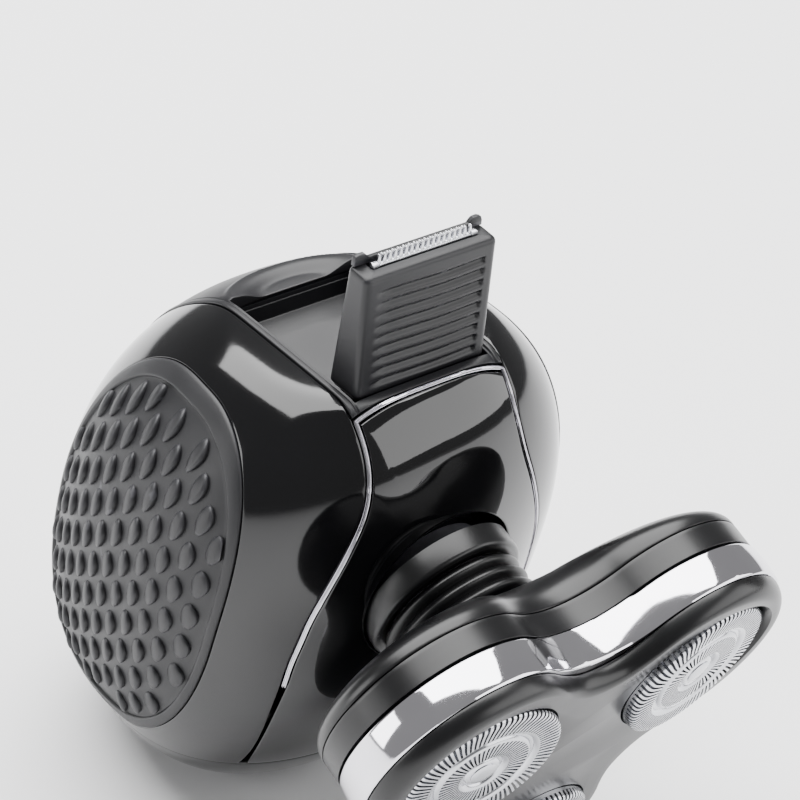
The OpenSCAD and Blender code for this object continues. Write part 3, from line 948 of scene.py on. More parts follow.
# ---------------------------------------------------------------- body
@dataclass
class BodyShells:
    """Shells, spine, front panel, belly cover, piping and recess.

    Attributes:
        seam: Half the gap between neighbouring mouldings.
        spine_half_w: Half the spine's width.
        panel_inset: Width that the piping takes from the panel's edge.
        belly_z: Height of the seam over the belly cover.
        grip_mid: y and z of the grip's middle.
        lip_half: Half the length and height of the grip's opening.
        field_half: The same for the field of scales.
        recess_half_w: Half the width of the trimmer's recess.
        recess_y: Its front and back edges.
        neck_r: Radius of the panel's opening for the neck.
        hole_r: Radius of the power button's hole.
        hole_z: Its height.
        window: Half the width, the lowest and the highest z of the light window's hole.
        side_core: y and z of the point that the shell's top edge is drawn round.
        foot_core_y: y of the point that its low edge is drawn round.
        shell_front_y: Where its top edge stops at the front.
        panel_top_y: Where the panel's top edge lies.
        samples: Points round each sheet.
    """

    seam: float = 0.12
    spine_half_w: float = 13.2
    panel_inset: float = 0.7
    belly_z: float = -66.0
    grip_mid: tuple[float, float] = (24.2, -34.4)
    lip_half: tuple[float, float] = (21.5, 31.0)
    field_half: tuple[float, float] = (20.3, 28.7)
    recess_half_w: float = 11.7
    recess_y: tuple[float, float] = (-0.35, 29.0)
    neck_r: float = 12.7
    hole_r: float = 6.3
    hole_z: float = -42.0
    window: tuple[float, float, float] = (4.35, -29.3, -26.7)
    side_core: tuple[float, float] = (22.0, -26.0)
    foot_core_y: float = 26.0
    shell_front_y: float = -1.9
    panel_top_y: float = -2.7
    samples: int = 280

    def grip_loop(self, half: tuple[float, float], angles: np.ndarray) -> np.ndarray:
        """A leaning superellipse on the left side, one point for each side-view angle.

        Args:
            half: Half its length and half its height.
            angles: Side-view angles in radians.

        Returns:
            Points on the egg.
        """
        reach = (np.abs(np.cos(angles) / half[0]) ** 2.5 + np.abs(np.sin(angles) / half[1]) ** 2.5) ** -0.4
        z = self.grip_mid[1] + reach * np.sin(angles)
        y = self.grip_mid[0] + reach * np.cos(angles) - SKIN.lean * (z - self.grip_mid[1])
        return SKIN.left_at(y, z)

    def side_angle(self, points: np.ndarray) -> np.ndarray:
        """Side-view angles of points about the grip's middle."""
        return np.arctan2(points[..., 2] - self.grip_mid[1], points[..., 1] - self.grip_mid[0])

    def outer_loop(self) -> tuple[np.ndarray, np.ndarray]:
        """The left shell's outer boundary.

        Returns:
            Side-view angles about the grip's middle, and points on the egg.
        """
        seam_x = -(self.spine_half_w + self.seam)
        over = np.radians(np.linspace(142, -46, 400))
        top = SKIN.hit(np.array([seam_x, *self.side_core]),
                       np.stack([0 * over, np.cos(over), np.sin(over)], axis=-1))
        low_z = self.belly_z + self.seam
        top = top[(top[:, 1] > self.shell_front_y) & (top[:, 2] > low_z)]
        z = np.linspace(top[0, 2], low_z, 200)
        front = SKIN.front_at(-bib_half(z) - self.seam, z)
        spin = np.radians(np.linspace(0, 180, 700))
        foot = SKIN.hit(np.array([0, self.foot_core_y, low_z]),
                        np.stack([-np.sin(spin), -np.cos(spin), 0 * spin], axis=-1))
        ahead = foot[:, 1] < self.foot_core_y
        behind = foot[:, 1] > self.foot_core_y
        foot = foot[((foot[:, 0] < seam_x) | ahead) & ((foot[:, 0] < -bib_half(low_z) - self.seam) | behind)]
        loop = np.concatenate([top[::-1], front, foot])
        corners = self.side_angle(np.array([top[0], front[-1], top[-1], front[0]]))
        wanted = np.linspace(-math.pi, math.pi, self.samples, endpoint=False)
        return wanted, read_loop(loop, self.side_angle(loop), wanted, corners)

    def shell(self) -> Shape:
        """The left shell, with the grip's opening.

        Returns:
            Vertices and faces.
        """
        angles, outer = self.outer_loop()
        inner = self.grip_loop(self.lip_half, angles)
        return SKIN.band(inner, outer, 46, roll=0.28)

    def panel(self) -> Shape:
        """The front panel, between the neck's opening and the piping.

        Returns:
            Vertices and faces.
        """
        around = np.linspace(0, 2 * math.pi, self.samples, endpoint=False) + 0.001
        axis_from = HEAD.place(polar(self.neck_r, around, -22.0))
        inner = SKIN.hit(axis_from, HEAD.turned[:, 2])
        edge = self.panel_inset + self.seam
        z = np.linspace(0.4, self.belly_z + self.seam, 300)
        left = SKIN.front_at(-bib_half(z) + edge, z)
        left = left[left[:, 1] < self.panel_top_y - self.seam]
        half = BIB_OUTLINE[-1][1] - edge
        low = SKIN.front_at(np.linspace(-half, half, 120), self.belly_z + self.seam)
        half = self.spine_half_w - edge - 0.05
        top = SKIN.top_at(np.linspace(-half, half, 80), self.panel_top_y - self.seam)
        loop = np.concatenate([top, left * MIRROR, low[::-1], left[::-1]])

        def front_angle(points: np.ndarray) -> np.ndarray:
            """Front-view angles of points about the neck's foot."""
            return np.arctan2(points[..., 2] - HEAD.foot[2], points[..., 0])

        corners = front_angle(np.array([top[0], top[-1], low[0], low[-1]]))
        outer = read_loop(loop, front_angle(loop), front_angle(inner), corners)
        return SKIN.band(inner, outer, 40, roll=0.3)

    def belly(self) -> Shape:
        """The bowl under the seam, flat where it rests.

        Returns:
            Vertices and faces.
        """
        around = np.linspace(0, 2 * math.pi, 240, endpoint=False)
        heading = np.stack([np.cos(around), np.sin(around), 0 * around], axis=-1)
        rings = []
        for z in np.concatenate([np.linspace(self.belly_z - self.seam, -79.0, 16), [-80.2, -81.2, -82.0]]):
            mid_y = SKIN.mid[1] - SKIN.lean * (z - SKIN.mid[2])
            rings.append(SKIN.hit(np.array([0, mid_y, z]), heading))
        last, centre = rings[-1], rings[-1].mean(axis=0)
        rings += [centre + (last - centre) * t for t in (0.75, 0.5, 0.25, 0.05)]
        out = [SKIN.settle(r) for r in rings]
        under = [SKIN.settle(r, -SKIN.wall) for r in rings[::-1]]
        rim = SKIN.rolled(out[0], under[-1], unit(rings[0] - rings[1]), 0.3)
        return loft(under + rim[::-1] + out, caps=True)

    def spine_strip(self) -> Shape:
        """The strip over the top and down the back, with its recess, scoop, rails and holes.

        Returns:
            Vertices and faces.
        """
        edge = self.spine_half_w - self.seam
        marks = (self.recess_half_w, 12.0, 12.15, 12.3, 12.8, 12.95, self.window[0], self.hole_r, edge - 0.15)
        cols = sorted({-edge, edge, *np.round(np.linspace(-edge + 0.5, edge - 0.5, 53), 3),
                       *(side * mark for side in (-1, 1) for mark in marks)})
        xs = self.thinned(np.array(cols), 0.13)
        y_rows = np.unique(np.concatenate([np.linspace(-1.75, self.recess_y[0], 4),
                                           np.linspace(*self.recess_y, 40), np.linspace(29, 37, 28)]))
        fans = np.radians(np.linspace(46, 2, 20))
        marks = [*self.window[1:], self.hole_z + self.hole_r, self.hole_z - self.hole_r]
        z_rows = np.unique([*np.linspace(-22.5, self.belly_z + self.seam, 78), *marks])[::-1]
        z_rows = self.thinned(z_rows, 0.2)
        egg = np.array([SKIN.top_at(xs, y) for y in y_rows]
                       + [SKIN.meet((0, math.cos(a), math.sin(a)), xs, SKIN.core_back, -22.0) for a in fans]
                       + [SKIN.back_at(xs, z) for z in z_rows])
        first_back = len(y_rows) + len(fans)
        egg = self.round_hole(egg, first_back)
        lift = self.rails(egg) + self.scoop(egg)
        return slab(SKIN.settle(egg, lift), SKIN.settle(egg, -1.8), self.spine_cells(egg, first_back))

    @staticmethod
    def thinned(values: np.ndarray, gap: float) -> np.ndarray:
        """Drop values that follow another more closely than the gap.

        Args:
            values: Values in order.
            gap: The least gap to keep.

        Returns:
            The values that are left.
        """
        kept = [values[0]]
        for v in values[1:]:
            if abs(v - kept[-1]) > gap:
                kept.append(v)
        kept[-1] = values[-1]
        return np.array(kept)

    def round_hole(self, egg: np.ndarray, first: int) -> np.ndarray:
        """Bend the square of grid lines round the button into a circle.

        Args:
            egg: The spine's grid of points, changed in place.
            first: The first row on the back.

        Returns:
            The grid.
        """
        inner, outer = self.hole_r, self.hole_r + 4.2
        for r in range(first, len(egg)):
            dx, dz = egg[r, :, 0], egg[r, :, 2] - self.hole_z
            far = np.maximum(np.abs(dx), np.abs(dz))
            length = np.maximum(np.hypot(dx, dz), 1e-6)
            pull = smoothstep((outer - far) / (outer - inner)) * np.clip(far / inner, 0, 1)
            scale = (1 - pull) + pull * far / length
            near = far < outer
            egg[r, near] = SKIN.back_at((dx * scale)[near], (self.hole_z + dz * scale)[near])
        return egg

    def rails(self, egg: np.ndarray) -> np.ndarray:
        """Lift of the thin rail along each edge, with the groove inside it.

        Args:
            egg: The spine's grid of points.

        Returns:
            A lift in mm for each point.
        """
        x = np.abs(egg[..., 0])
        rail = smoothstep((x - 12.1) / 0.2) * smoothstep((13.05 - x) / 0.12)
        groove = smoothstep((x - 11.75) / 0.15) * smoothstep((12.2 - x) / 0.15)
        rail_h, groove_depth = 0.16, 0.22
        return rail_h * rail - groove_depth * groove

    def scoop(self, egg: np.ndarray) -> np.ndarray:
        """Lift of the finger scoop behind the recess: a dish with a low lip round it.

        Args:
            egg: The spine's grid of points.

        Returns:
            A lift in mm for each point.
        """
        near = (egg[..., 2] > -12) & (egg[..., 1] > self.recess_y[1] - 0.5)
        half_across, reach, depth, lip_h = 10.3, 5.4, 1.5, 0.22
        far = np.hypot(egg[..., 0] / half_across, (egg[..., 1] - self.recess_y[1]) / reach)
        dish = -depth * smoothstep((1.0 - far) / 0.5)
        lip = lip_h * np.exp(-((far - 1.07) / 0.06) ** 2)
        return np.where(near, dish + lip, 0.0)

    def spine_cells(self, egg: np.ndarray, back: int) -> np.ndarray:
        """Which cells of the spine's grid are solid.

        Args:
            egg: The spine's grid of points.
            back: The first row on the back.

        Returns:
            A flag for each cell.
        """
        mid = (egg[1:, 1:] + egg[:-1, 1:] + egg[1:, :-1] + egg[:-1, :-1]) / 4
        x, y, z = np.abs(mid[..., 0]), mid[..., 1], mid[..., 2]
        recess = (x < self.recess_half_w) & (y > self.recess_y[0]) & (y < self.recess_y[1]) & (z > -12)
        row = np.arange(len(mid))[:, None] >= back
        button = row & (np.hypot(x, z - self.hole_z) < self.hole_r)
        half_w, low, high = self.window
        window = row & (x < half_w) & (z > low) & (z < high)
        return ~(recess | button | window)

    def piping_run(self) -> tuple[np.ndarray, np.ndarray]:
        """Middle line of the bright moulding and its inward side direction.

        Returns:
            N x 3 points on the egg, and a direction at each.
        """
        width = self.panel_inset / 2
        top_y = -2.3
        z = np.linspace(self.belly_z - 0.2, -1.2, 150)
        left = SKIN.front_at(-bib_half(z) + width, z)
        left = left[left[:, 1] < top_y - 0.05]
        top = SKIN.top_at(np.linspace(left[-1, 0], -left[-1, 0], 70), top_y)
        run = np.concatenate([left, top, (left * MIRROR)[::-1]])
        along = unit(np.gradient(run, axis=0))
        _, slope = SKIN.level(run)
        return run, unit(np.cross(unit(slope), along))

    def piping(self) -> Shape:
        """Two thin beads with a dark gap between them, swept round the panel.

        Returns:
            Vertices and faces.
        """
        run, side = self.piping_run()
        shapes = []
        for offset, half, proud in ((-0.14, 0.1, 0.1), (0.2, 0.06, 0.04)):
            stack = []
            for a in np.radians(np.arange(0, 360, 36)):
                lifted = SKIN.project(run + side * (offset + half * math.cos(a)),
                                      proud * 0.4 + 0.18 * math.sin(a) + (proud - 0.14))
                stack.append(lifted)
            rings = [np.array([s[i] for s in stack]) for i in range(len(run))]
            shapes.append(loft(rings, caps=True))
        bed = [SKIN.project(run + side * across, lift)
               for across, lift in ((-0.3, -0.5), (-0.3, -0.12), (0.32, -0.12), (0.32, -0.5))]
        shapes.append(loft([np.array([b[i] for b in bed]) for i in range(len(run))], caps=True))
        return joined(shapes)

    def recess(self) -> Shape:
        """The tray under the folded trimmer: soft corners, a ledge and a sloping floor.

        Returns:
            Vertices and faces.
        """
        half_w, (y0, y1) = self.recess_half_w, self.recess_y
        low_z, rise, slope_y0 = -7.2, 2.0, 7.0

        def ring(inset: float, corner: float, z: float | None, above: float = 0.0) -> np.ndarray:
            """A ring at an inset, level at z or above the sloping floor.

            Args:
                inset: How far it lies inside the tray's opening.
                corner: Corner radius.
                z: Its height, or None to follow the floor.
                above: Height over the floor.

            Returns:
                N x 3 points.
            """
            flat = rounded_box(half_w - inset, y0 + inset, y1 - inset, corner, 160)
            floor = low_z + rise * np.clip((flat[:, 1] - slope_y0) / (y1 - slope_y0), 0, 1) + above
            return np.column_stack([flat, floor if z is None else np.full(160, z)])

        skirt = rounded_box(half_w + 0.9, y0 + 0.0, y1 + 0.9, 1.2, 160)
        outside = [np.column_stack([skirt, np.full(160, z)]) for z in (-8.6, -1.9)]
        inside = [ring(-0.25, 0.7, -1.9), ring(0.02, 0.6, -1.9), ring(0.05, 0.6, -2.6), ring(0.18, 0.6, -2.7),
                  ring(0.2, 0.6, -2.95), ring(0.22, 0.6, None, 0.35), ring(0.3, 0.6, None, 0.1),
                  ring(0.5, 0.7, None)]
        inside += [ring(t, 1.2, None) for t in (4.0, 7.0, 10.0)]
        return loft(outside + inside, caps=True)

    def build(self, bench: Bench) -> None:
        """Build and dress the body's outside.

        Args:
            bench: The frame, origin and finishes.
        """
        shell = self.shell()
        flipped = moved(shell, lambda p: p * MIRROR)
        bench.piece("left_shell_moulding", shell, GLOSS_SHELL, "root", ["left_shell"], "gloss_black")
        bench.piece("right_shell_moulding", flipped, GLOSS_SHELL, "root", ["right_shell"], "gloss_black")
        bench.piece("spine_moulding", self.spine_strip(), SATIN_ABS, "root", ["spine"], "satin_black",
                    bevel=0.12)
        bench.piece("front_panel_moulding", self.panel(), PANEL_ACRYLIC, "root", ["front_panel"],
                    "panel_gloss")
        screw_hole = solid_turned([(1.9, 0.0), (1.9, 4.0)], 32)
        screws = [moved(screw_hole, lambda p, x=x, y=y: p + [x, y, -81.5]) for y in (22, 40) for x in (-9, 9)]
        mouth = plate(rounded_box(4.7, -2.0, 2.0, 1.4, 48), 12.0)
        mouth = moved(mouth, lambda p: p @ turn("x", 90).T + [0, 64, -71.4])
        bench.piece("belly_moulding", self.belly(), GLOSS_SHELL, "root", ["belly_cover"], "gloss_black",
                    cutters=[*screws, mouth])
        bench.piece("panel_piping", self.piping(), CHROME_PLATE, "root", ["chrome_piping"], "chrome")
        bench.piece("recess_moulding", self.recess(), SATIN_ABS, "root", ["recess_tray"], "satin_black")


@dataclass
class Grips:
    """Rubber pads: a smooth border round a sunk field of leaf-shaped scales.

    Attributes:
        shells: The body that the pads are set in.
        proud: How far the border stands out of the shell.
        sunk: How far the field lies below the border.
        depth: How far the pad reaches into the body.
        scale_h: Height of a scale over the field.
        first: y and z of the scale that the pattern is counted from.
        row_step: Step to the next scale in a row.
        column_step: Step to the next row.
        length: A scale's long side.
        width: Its short side.
        most_pulled: Scales that the border would move further than this are left out.
    """

    shells: BodyShells
    proud: float = 0.12
    sunk: float = 0.5
    depth: float = 1.5
    scale_h: float = 0.8
    first: tuple[float, float] = (15.83, -12.5)
    row_step: tuple[float, float] = (-3.92, 2.7)
    column_step: tuple[float, float] = (-2.66, -3.51)
    length: tuple[float, float] = (-0.36, 5.0)
    width: tuple[float, float] = (-2.75, 0.4)
    most_pulled: float = 0.55

    def pad(self) -> Shape:
        """The border and the field under the scales.

        Returns:
            Vertices and faces.
        """
        angles = np.linspace(-math.pi, math.pi, 300, endpoint=False)
        lip = self.shells.grip_loop(self.shells.lip_half, angles)
        rim = self.shells.grip_loop(self.shells.field_half, angles)
        centre = rim.mean(axis=0)
        inward = unit(centre - lip)
        edge = lip + inward * 0.1
        rings = [SKIN.project(edge + inward * inset, lift) for inset, lift in (
            (0.0, -self.depth), (0.0, -0.25), (0.06, self.proud - 0.12), (0.2, self.proud))]
        rings += [SKIN.project(edge + (rim - edge) * t, self.proud + 0.1 * math.sin(math.pi * t))
                  for t in np.linspace(0.2, 0.9, 6)]
        rings += [SKIN.project(rim + inward * d, self.proud - drop)
                  for d, drop in ((-0.08, 0.0), (0.06, 0.08), (0.14, self.sunk - 0.06), (0.3, self.sunk))]
        start = rim + inward * 0.3
        rings += [SKIN.project(start + (centre - start) * t, self.proud - self.sunk)
                  for t in np.linspace(0.03, 0.998, 36)]
        under = [SKIN.project(start + (centre - start) * t, -self.depth) for t in np.linspace(0.998, 0.1, 8)]
        return loft(rings + under, join_ends=True)

    def inside(self, y: np.ndarray, z: np.ndarray) -> tuple[np.ndarray, np.ndarray]:
        """Pull side-view points that cross the border back onto it.

        Args:
            y: Lengthwise places in mm.
            z: Heights in mm.

        Returns:
            The places pulled back.
        """
        half = self.shells.field_half
        mid_y, mid_z = self.shells.grip_mid
        dy, dz = y - mid_y + SKIN.lean * (z - mid_z), z - mid_z
        over = (np.abs(dy / half[0]) ** 2.5 + np.abs(dz / half[1]) ** 2.5) ** 0.4
        fit = np.minimum(1.0, 0.985 / np.maximum(over, 1e-6))
        dz = dz * fit
        return mid_y + dy * fit - SKIN.lean * dz, mid_z + dz

    def scale(self, y0: float, z0: float) -> Shape | None:
        """One leaf-shaped scale: a gentle rise from its back edge to a steep front edge.

        Args:
            y0: The scale's lengthwise place in mm.
            z0: Its height in mm.

        Returns:
            Vertices and faces, or None where the border leaves no room for it.
        """
        along = np.linspace(0, 1, 13)
        crown = np.sin(math.pi * along) ** 0.62
        sides = np.array([-1.0, -0.96, -0.82, -0.45, 0.0, 0.45, 0.8, 0.93, 0.99, 1.0])
        heights = np.array([-0.35, 0.02, 0.3, 0.62, 0.86, 1.0, 0.94, 0.66, 0.1, -0.35])
        ty, tz = np.meshgrid(along - 0.5, sides, indexing="ij")
        bend = 0.22 * np.sin(math.pi * along)[:, None] * np.ones_like(tz)
        y = y0 + ty * self.length[0] + (tz * crown[:, None] + bend) * self.width[0] / 2
        z = z0 + ty * self.length[1] + (tz * crown[:, None] + bend) * self.width[1] / 2
        kept_y, kept_z = self.inside(y, z)
        if np.hypot(kept_y - y, kept_z - z).mean() > self.most_pulled:
            return None
        egg = SKIN.left_at(kept_y, kept_z)
        swell = np.sin(math.pi * along)[:, None] ** 0.5
        rise = self.proud - self.sunk + self.scale_h * np.where(heights > 0, heights * swell, heights)
        top = SKIN.settle(egg, rise)
        under = SKIN.settle(egg, self.proud - self.sunk - 0.4)
        return slab(top, under, np.ones((len(along) - 1, len(sides) - 1), bool))

    def build(self, bench: Bench) -> None:
        """Build both pads.

        Args:
            bench: The frame, origin and finishes.
        """
        scales = []
        most = 16
        mid_y, mid_z = self.shells.grip_mid
        reach_y, reach_z = np.array(self.shells.field_half) + [1.7, 1.3]
        for i, j in itertools.product(range(-most, most + 1), repeat=2):
            y, z = np.array(self.first) + i * np.array(self.row_step) + j * np.array(self.column_step)
            if abs(y - mid_y + SKIN.lean * (z - mid_z)) < reach_y and abs(z - mid_z) < reach_z:
                scales.append(self.scale(y, z))
        left = joined([self.pad(), *(s for s in scales if s is not None)])
        right = moved(left, lambda p: p * MIRROR)
        bench.piece("left_grip_pad", left, GRIP_RUBBER, "root", ["left_grip"], "grip_rubber", sharp=50)
        bench.piece("right_grip_pad", right, GRIP_RUBBER, "root", ["right_grip"], "grip_rubber", sharp=50)


@dataclass
class BackControls:
    """Power button, light window and charging socket on the back."""

    button_mid: tuple[float, float, float] = (0.0, 58.4, -42.0)
    button_r: float = 6.0

    def build(self, bench: Bench) -> None:
        """Build and dress the controls.

        Args:
            bench: The frame, origin and finishes.
        """
        edge = self.button_r
        profile = [(0.02, -3.0), (edge - 0.4, -3.0), (edge, -2.6), (edge, -0.35), (edge - 0.1, -0.12),
                   (5.65, 0.0), (5.2, -0.02), (4.8, -0.25), (4.2, -0.42), (2.5, -0.66), (1.2, -0.74),
                   (1.05, -0.62), (0.8, -0.56), (0.02, -0.54)]
        at = bench.matrix(turn("x", -90), np.array(self.button_mid))
        bench.piece("power_button_cap", revolve(profile, 96), SATIN_ABS, "button", ["power_button"],
                    "satin_black", at=at)
        flat = rounded_box(4.2, -29.2, -26.8, 1.1, 64)
        mid = np.array([0.0, -28.0])
        rings = []
        for inset, depth in ((0.0, -2.4), (0.0, -0.5), (0.08, -0.32), (0.3, -0.22), (0.8, -0.2)):
            spot = mid + (flat - mid) * (1 - inset / 2.0)
            rings.append(SKIN.settle(SKIN.back_at(spot[:, 0], spot[:, 1]), depth))
        bench.piece("charge_lens", loft(rings, caps=True), WINDOW_SMOKE, "root", ["charge_window"],
                    "window_lens")
        bench.dress(SPRING_STEEL, "charge_socket", "button_spring", "trimmer_detent", "shell_screws")


# ---------------------------------------------------------------- trimmer
@dataclass
class Trimmer:
    """The raised hair trimmer: ribbed housing, back plate and two combs.

    Attributes:
        width: Width of the housing.
        height: Its height.
        foot_t: Its thickness at the foot.
        tip_t: Its thickness at the tip.
        ribs: Number of grip ribs.
        rib_pitch: Distance between them.
        rib_depth: Depth of the grooves between them.
        teeth: Teeth of the fixed comb.
        hinge: y and z of the hinge's axis.
        comb_z: Height of the combs' lower edge.
        comb_y: Back faces of the fixed and the moving comb.
        comb_t: Thickness of each comb.
    """

    width: float = 22.5
    height: float = 19.1
    foot_t: float = 6.4
    tip_t: float = 4.3
    ribs: int = 9
    rib_pitch: float = 1.8
    rib_depth: float = 0.52
    teeth: int = 18
    hinge: tuple[float, float] = (3.2, -3.2)
    comb_z: float = 9.2
    comb_y: tuple[float, float] = (2.4, 2.95)
    comb_t: float = 0.42

    def groove(self, x: np.ndarray, z: np.ndarray) -> np.ndarray:
        """Depth of the finger grooves: faded at the left, ending sharply at the right.

        Args:
            x: Places across the front in mm.
            z: Heights in mm.

        Returns:
            Depths in mm.
        """
        wander = 0.12 * np.sin(x * 0.33 + 0.8)
        phase = (z - 1.6 + wander) / self.rib_pitch
        wave = 0.5 + 0.5 * np.cos(2 * math.pi * phase)
        span = smoothstep((x + 9.6) / 3.2) * smoothstep((9.3 - x) / 0.35)
        rows = smoothstep((z - 0.7) / 0.5) * smoothstep((self.rib_pitch * (self.ribs - 1) + 2.5 - z) / 0.5)
        return self.rib_depth * wave ** 1.6 * span * rows

    def housing(self) -> Shape:
        """The wedge with its grooved front, crowned top, blade slot and hinge barrel.

        Returns:
            Vertices and faces.
        """
        count = 240
        rings = []
        for z in np.concatenate([[-0.4, -0.3, 0.0], np.linspace(0.15, self.height - 0.9, 118)]):
            t = self.foot_t + (self.tip_t - self.foot_t) * max(z, 0) / self.height
            pull = 0.35 * float(smoothstep((0.25 - z) / 0.65))
            flat = rounded_box(self.width / 2 - pull, pull, t - pull, 0.95, count)
            front = smoothstep((0.6 - flat[:, 1]) / 0.5)
            flat[:, 1] += front * self.groove(flat[:, 0], np.full(count, z))
            rings.append(np.column_stack([flat, np.full(count, z)]))
        for turned in np.radians([18, 36, 54, 72, 90]):
            inset = 0.75 * (1 - math.cos(turned))
            z = self.height - 0.9 + 0.75 * math.sin(turned)
            flat = rounded_box(self.width / 2 - inset, inset, self.tip_t + 0.05 - inset,
                               0.95 - inset * 0.6, count)
            slope = 0.3 * (flat[:, 1] / self.tip_t)
            rings.append(np.column_stack([flat, z + slope]))
        for half, y0, y1, z in ((9.2, 1.5, 3.75, 19.25), (9.0, 1.65, 3.65, 19.2), (8.9, 1.7, 3.6, 18.9),
                                (8.9, 1.7, 3.6, 12.0)):
            rings.append(np.column_stack([rounded_box(half, y0, y1, 0.3, count), np.full(count, z)]))
        wedge = loft(rings, caps=True)
        barrel = revolve([(0.9, -7.0), (2.1, -7.0), (2.3, -6.8), (2.3, 6.8), (2.1, 7.0), (0.9, 7.0)], 48)
        barrel = moved(barrel, lambda p: p @ turn("y", 90).T + [0, *self.hinge])
        web = plate(rounded_box(6.9, self.hinge[0] - 2.2, self.hinge[0] + 2.2, 0.4, 48), 2.9)
        web = moved(web, lambda p: p + [0, 0, -3.2])
        return joined([wedge, barrel, web])

    def comb(self, teeth: int, width: float, root: float, tip: float) -> np.ndarray:
        """Outline of a comb in its own plane, with tapered, blunt-tipped teeth.

        Args:
            teeth: How many teeth.
            width: Width of the comb.
            root: Height of the teeth's roots.
            tip: Height of their tips.

        Returns:
            N x 2 points.
        """
        pitch = width / teeth
        points = [(-width / 2, 0.0), (width / 2, 0.0), (width / 2, root)]
        for i in range(teeth):
            right = width / 2 - i * pitch
            points += [(right - pitch * 0.14, root + 0.1), (right - pitch * 0.40, tip - 0.06),
                       (right - pitch * 0.50, tip), (right - pitch * 0.60, tip - 0.06),
                       (right - pitch * 0.86, root + 0.1)]
        return np.array([*points, (-width / 2, root)])

    def blade(self, outline: np.ndarray, y: float, thickness: float) -> Shape:
        """Stand a comb up behind the housing's front wall."""
        return moved(plate(outline, thickness), lambda p: p @ turn("x", 90).T + [0, y, self.comb_z])

    def build(self, bench: Bench) -> None:
        """Build and dress the trimmer.

        Args:
            bench: The frame, origin and finishes.
        """
        bench.piece("trimmer_body", self.housing(), SATIN_ABS, "trimmer", ["trimmer_housing"], "satin_black")
        ears = [(-10.9, 10.1), (-8.3, 10.1), (-8.3, 0.0), (8.3, 0.0), (8.3, 10.1), (10.9, 10.1), (10.9, 10.9),
                (10.7, 11.5), (10.1, 11.75), (9.2, 11.7), (8.75, 11.3), (8.5, 10.95), (-8.5, 10.95),
                (-8.75, 11.3), (-9.2, 11.7), (-10.1, 11.75), (-10.7, 11.5), (-10.9, 10.9)]
        back = self.blade(np.array(ears), 4.05, 0.75)
        bench.piece("trimmer_backing", back, SATIN_ABS, "trimmer", ["trimmer_back_plate"], "satin_black",
                    bevel=0.14)
        fixed = joined([self.blade(self.comb(self.teeth, 16.4, 10.35, 11.8), self.comb_y[0], self.comb_t),
                        self.blade(rounded_box(8.6, 9.7, 10.35, 0.2, 40), 2.5, 0.64),
                        *[self.blade(rounded_box(0.55, 9.9, 10.7, 0.2, 40) + [s * 8.35, 0], 2.5, 0.76)
                          for s in (-1, 1)]])
        bench.piece("trimmer_fixed_comb", fixed, BLADE_STEEL, "trimmer", ["trimmer_fixed_blade"],
                    "blade_steel", bevel=0.05)
        moving = self.blade(self.comb(self.teeth - 2, 14.6, 10.3, 11.5), self.comb_y[1], self.comb_t)
        bench.piece("trimmer_moving_comb", moving, BLADE_STEEL, "moving_blade", ["trimmer_moving_blade"],
                    "blade_steel", bevel=0.05)
        bench.dress(SPRING_STEEL, "trimmer_pin")
        bench.dress(INNER_NYLON, "trimmer_lugs")


# ---------------------------------------------------------------- neck and inside
@dataclass
class Neck:
    """Collar, ribbed sleeve and the drive parts inside.

    Attributes:
        ribs: Ribs of the sleeve.
        pitch: Distance between them.
        foot: Station where the sleeve starts.
        bore: Radius inside the sleeve.
        bend: Stations, from the foot, where the sleeve starts and stops bending.
    """

    ribs: int = 3
    pitch: float = 2.1
    foot: float = -1.0
    # bend: Stations, from the foot, where the sleeve would start and stop bending; not used.
    bore: float = 9.5
    bend: tuple[float, float] = (0.3, 5.6)

    def build(self, bench: Bench) -> None:
        """Build and dress the neck.

        Args:
            bench: The frame, origin and finishes.
        """
        collar = [(9.7, -5.0), (12.3, -5.0), (12.35, -1.9), (12.25, -1.5), (12.0, -1.25), (11.6, -1.12),
                  (10.6, -1.12), (10.25, -1.2), (9.95, -1.4), (9.75, -1.8)]
        bench.piece("collar_ring", moved(revolve(collar, 120), HEAD.place), SATIN_LACQUER, "root",
                    ["neck_collar"], "satin_black")
        outer = []
        for z in np.linspace(0, self.ribs * self.pitch, 50):
            crest = abs(math.sin(math.pi * z / self.pitch)) ** 0.75
            outer.append((10.15 + 1.05 * crest, self.foot + z))
        sleeve = [(self.bore, self.foot), *outer, (self.bore, self.foot + self.ribs * self.pitch),
                  *[(self.bore, self.foot + self.pitch * k * 0.25) for k in range(4 * self.ribs - 1, 0, -1)]]
        made = bench.piece("neck_sleeve", moved(revolve(sleeve, 120), HEAD.place), BELLOWS_SILICONE, None,
                           ["neck_bellows"], "bellows_rubber", sharp=60)
        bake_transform(made)
        bench.dress(INNER_NYLON, "inner_chassis", "neck_tube", "head_hub", "gear_plate", "gear_cover")
        bench.dress(MOTOR_CAN, "drive_motor")
        bench.dress(CELL_SLEEVE, "battery_cell")
        bench.dress(BOARD_MASK, "circuit_board")
        bench.dress(SPRING_STEEL, "drive_shaft", "gimbal_ring", "cutter_springs")
        bench.dress(ACETAL, "centre_gear", "cutter_gear_1", "cutter_gear_2", "cutter_gear_3")


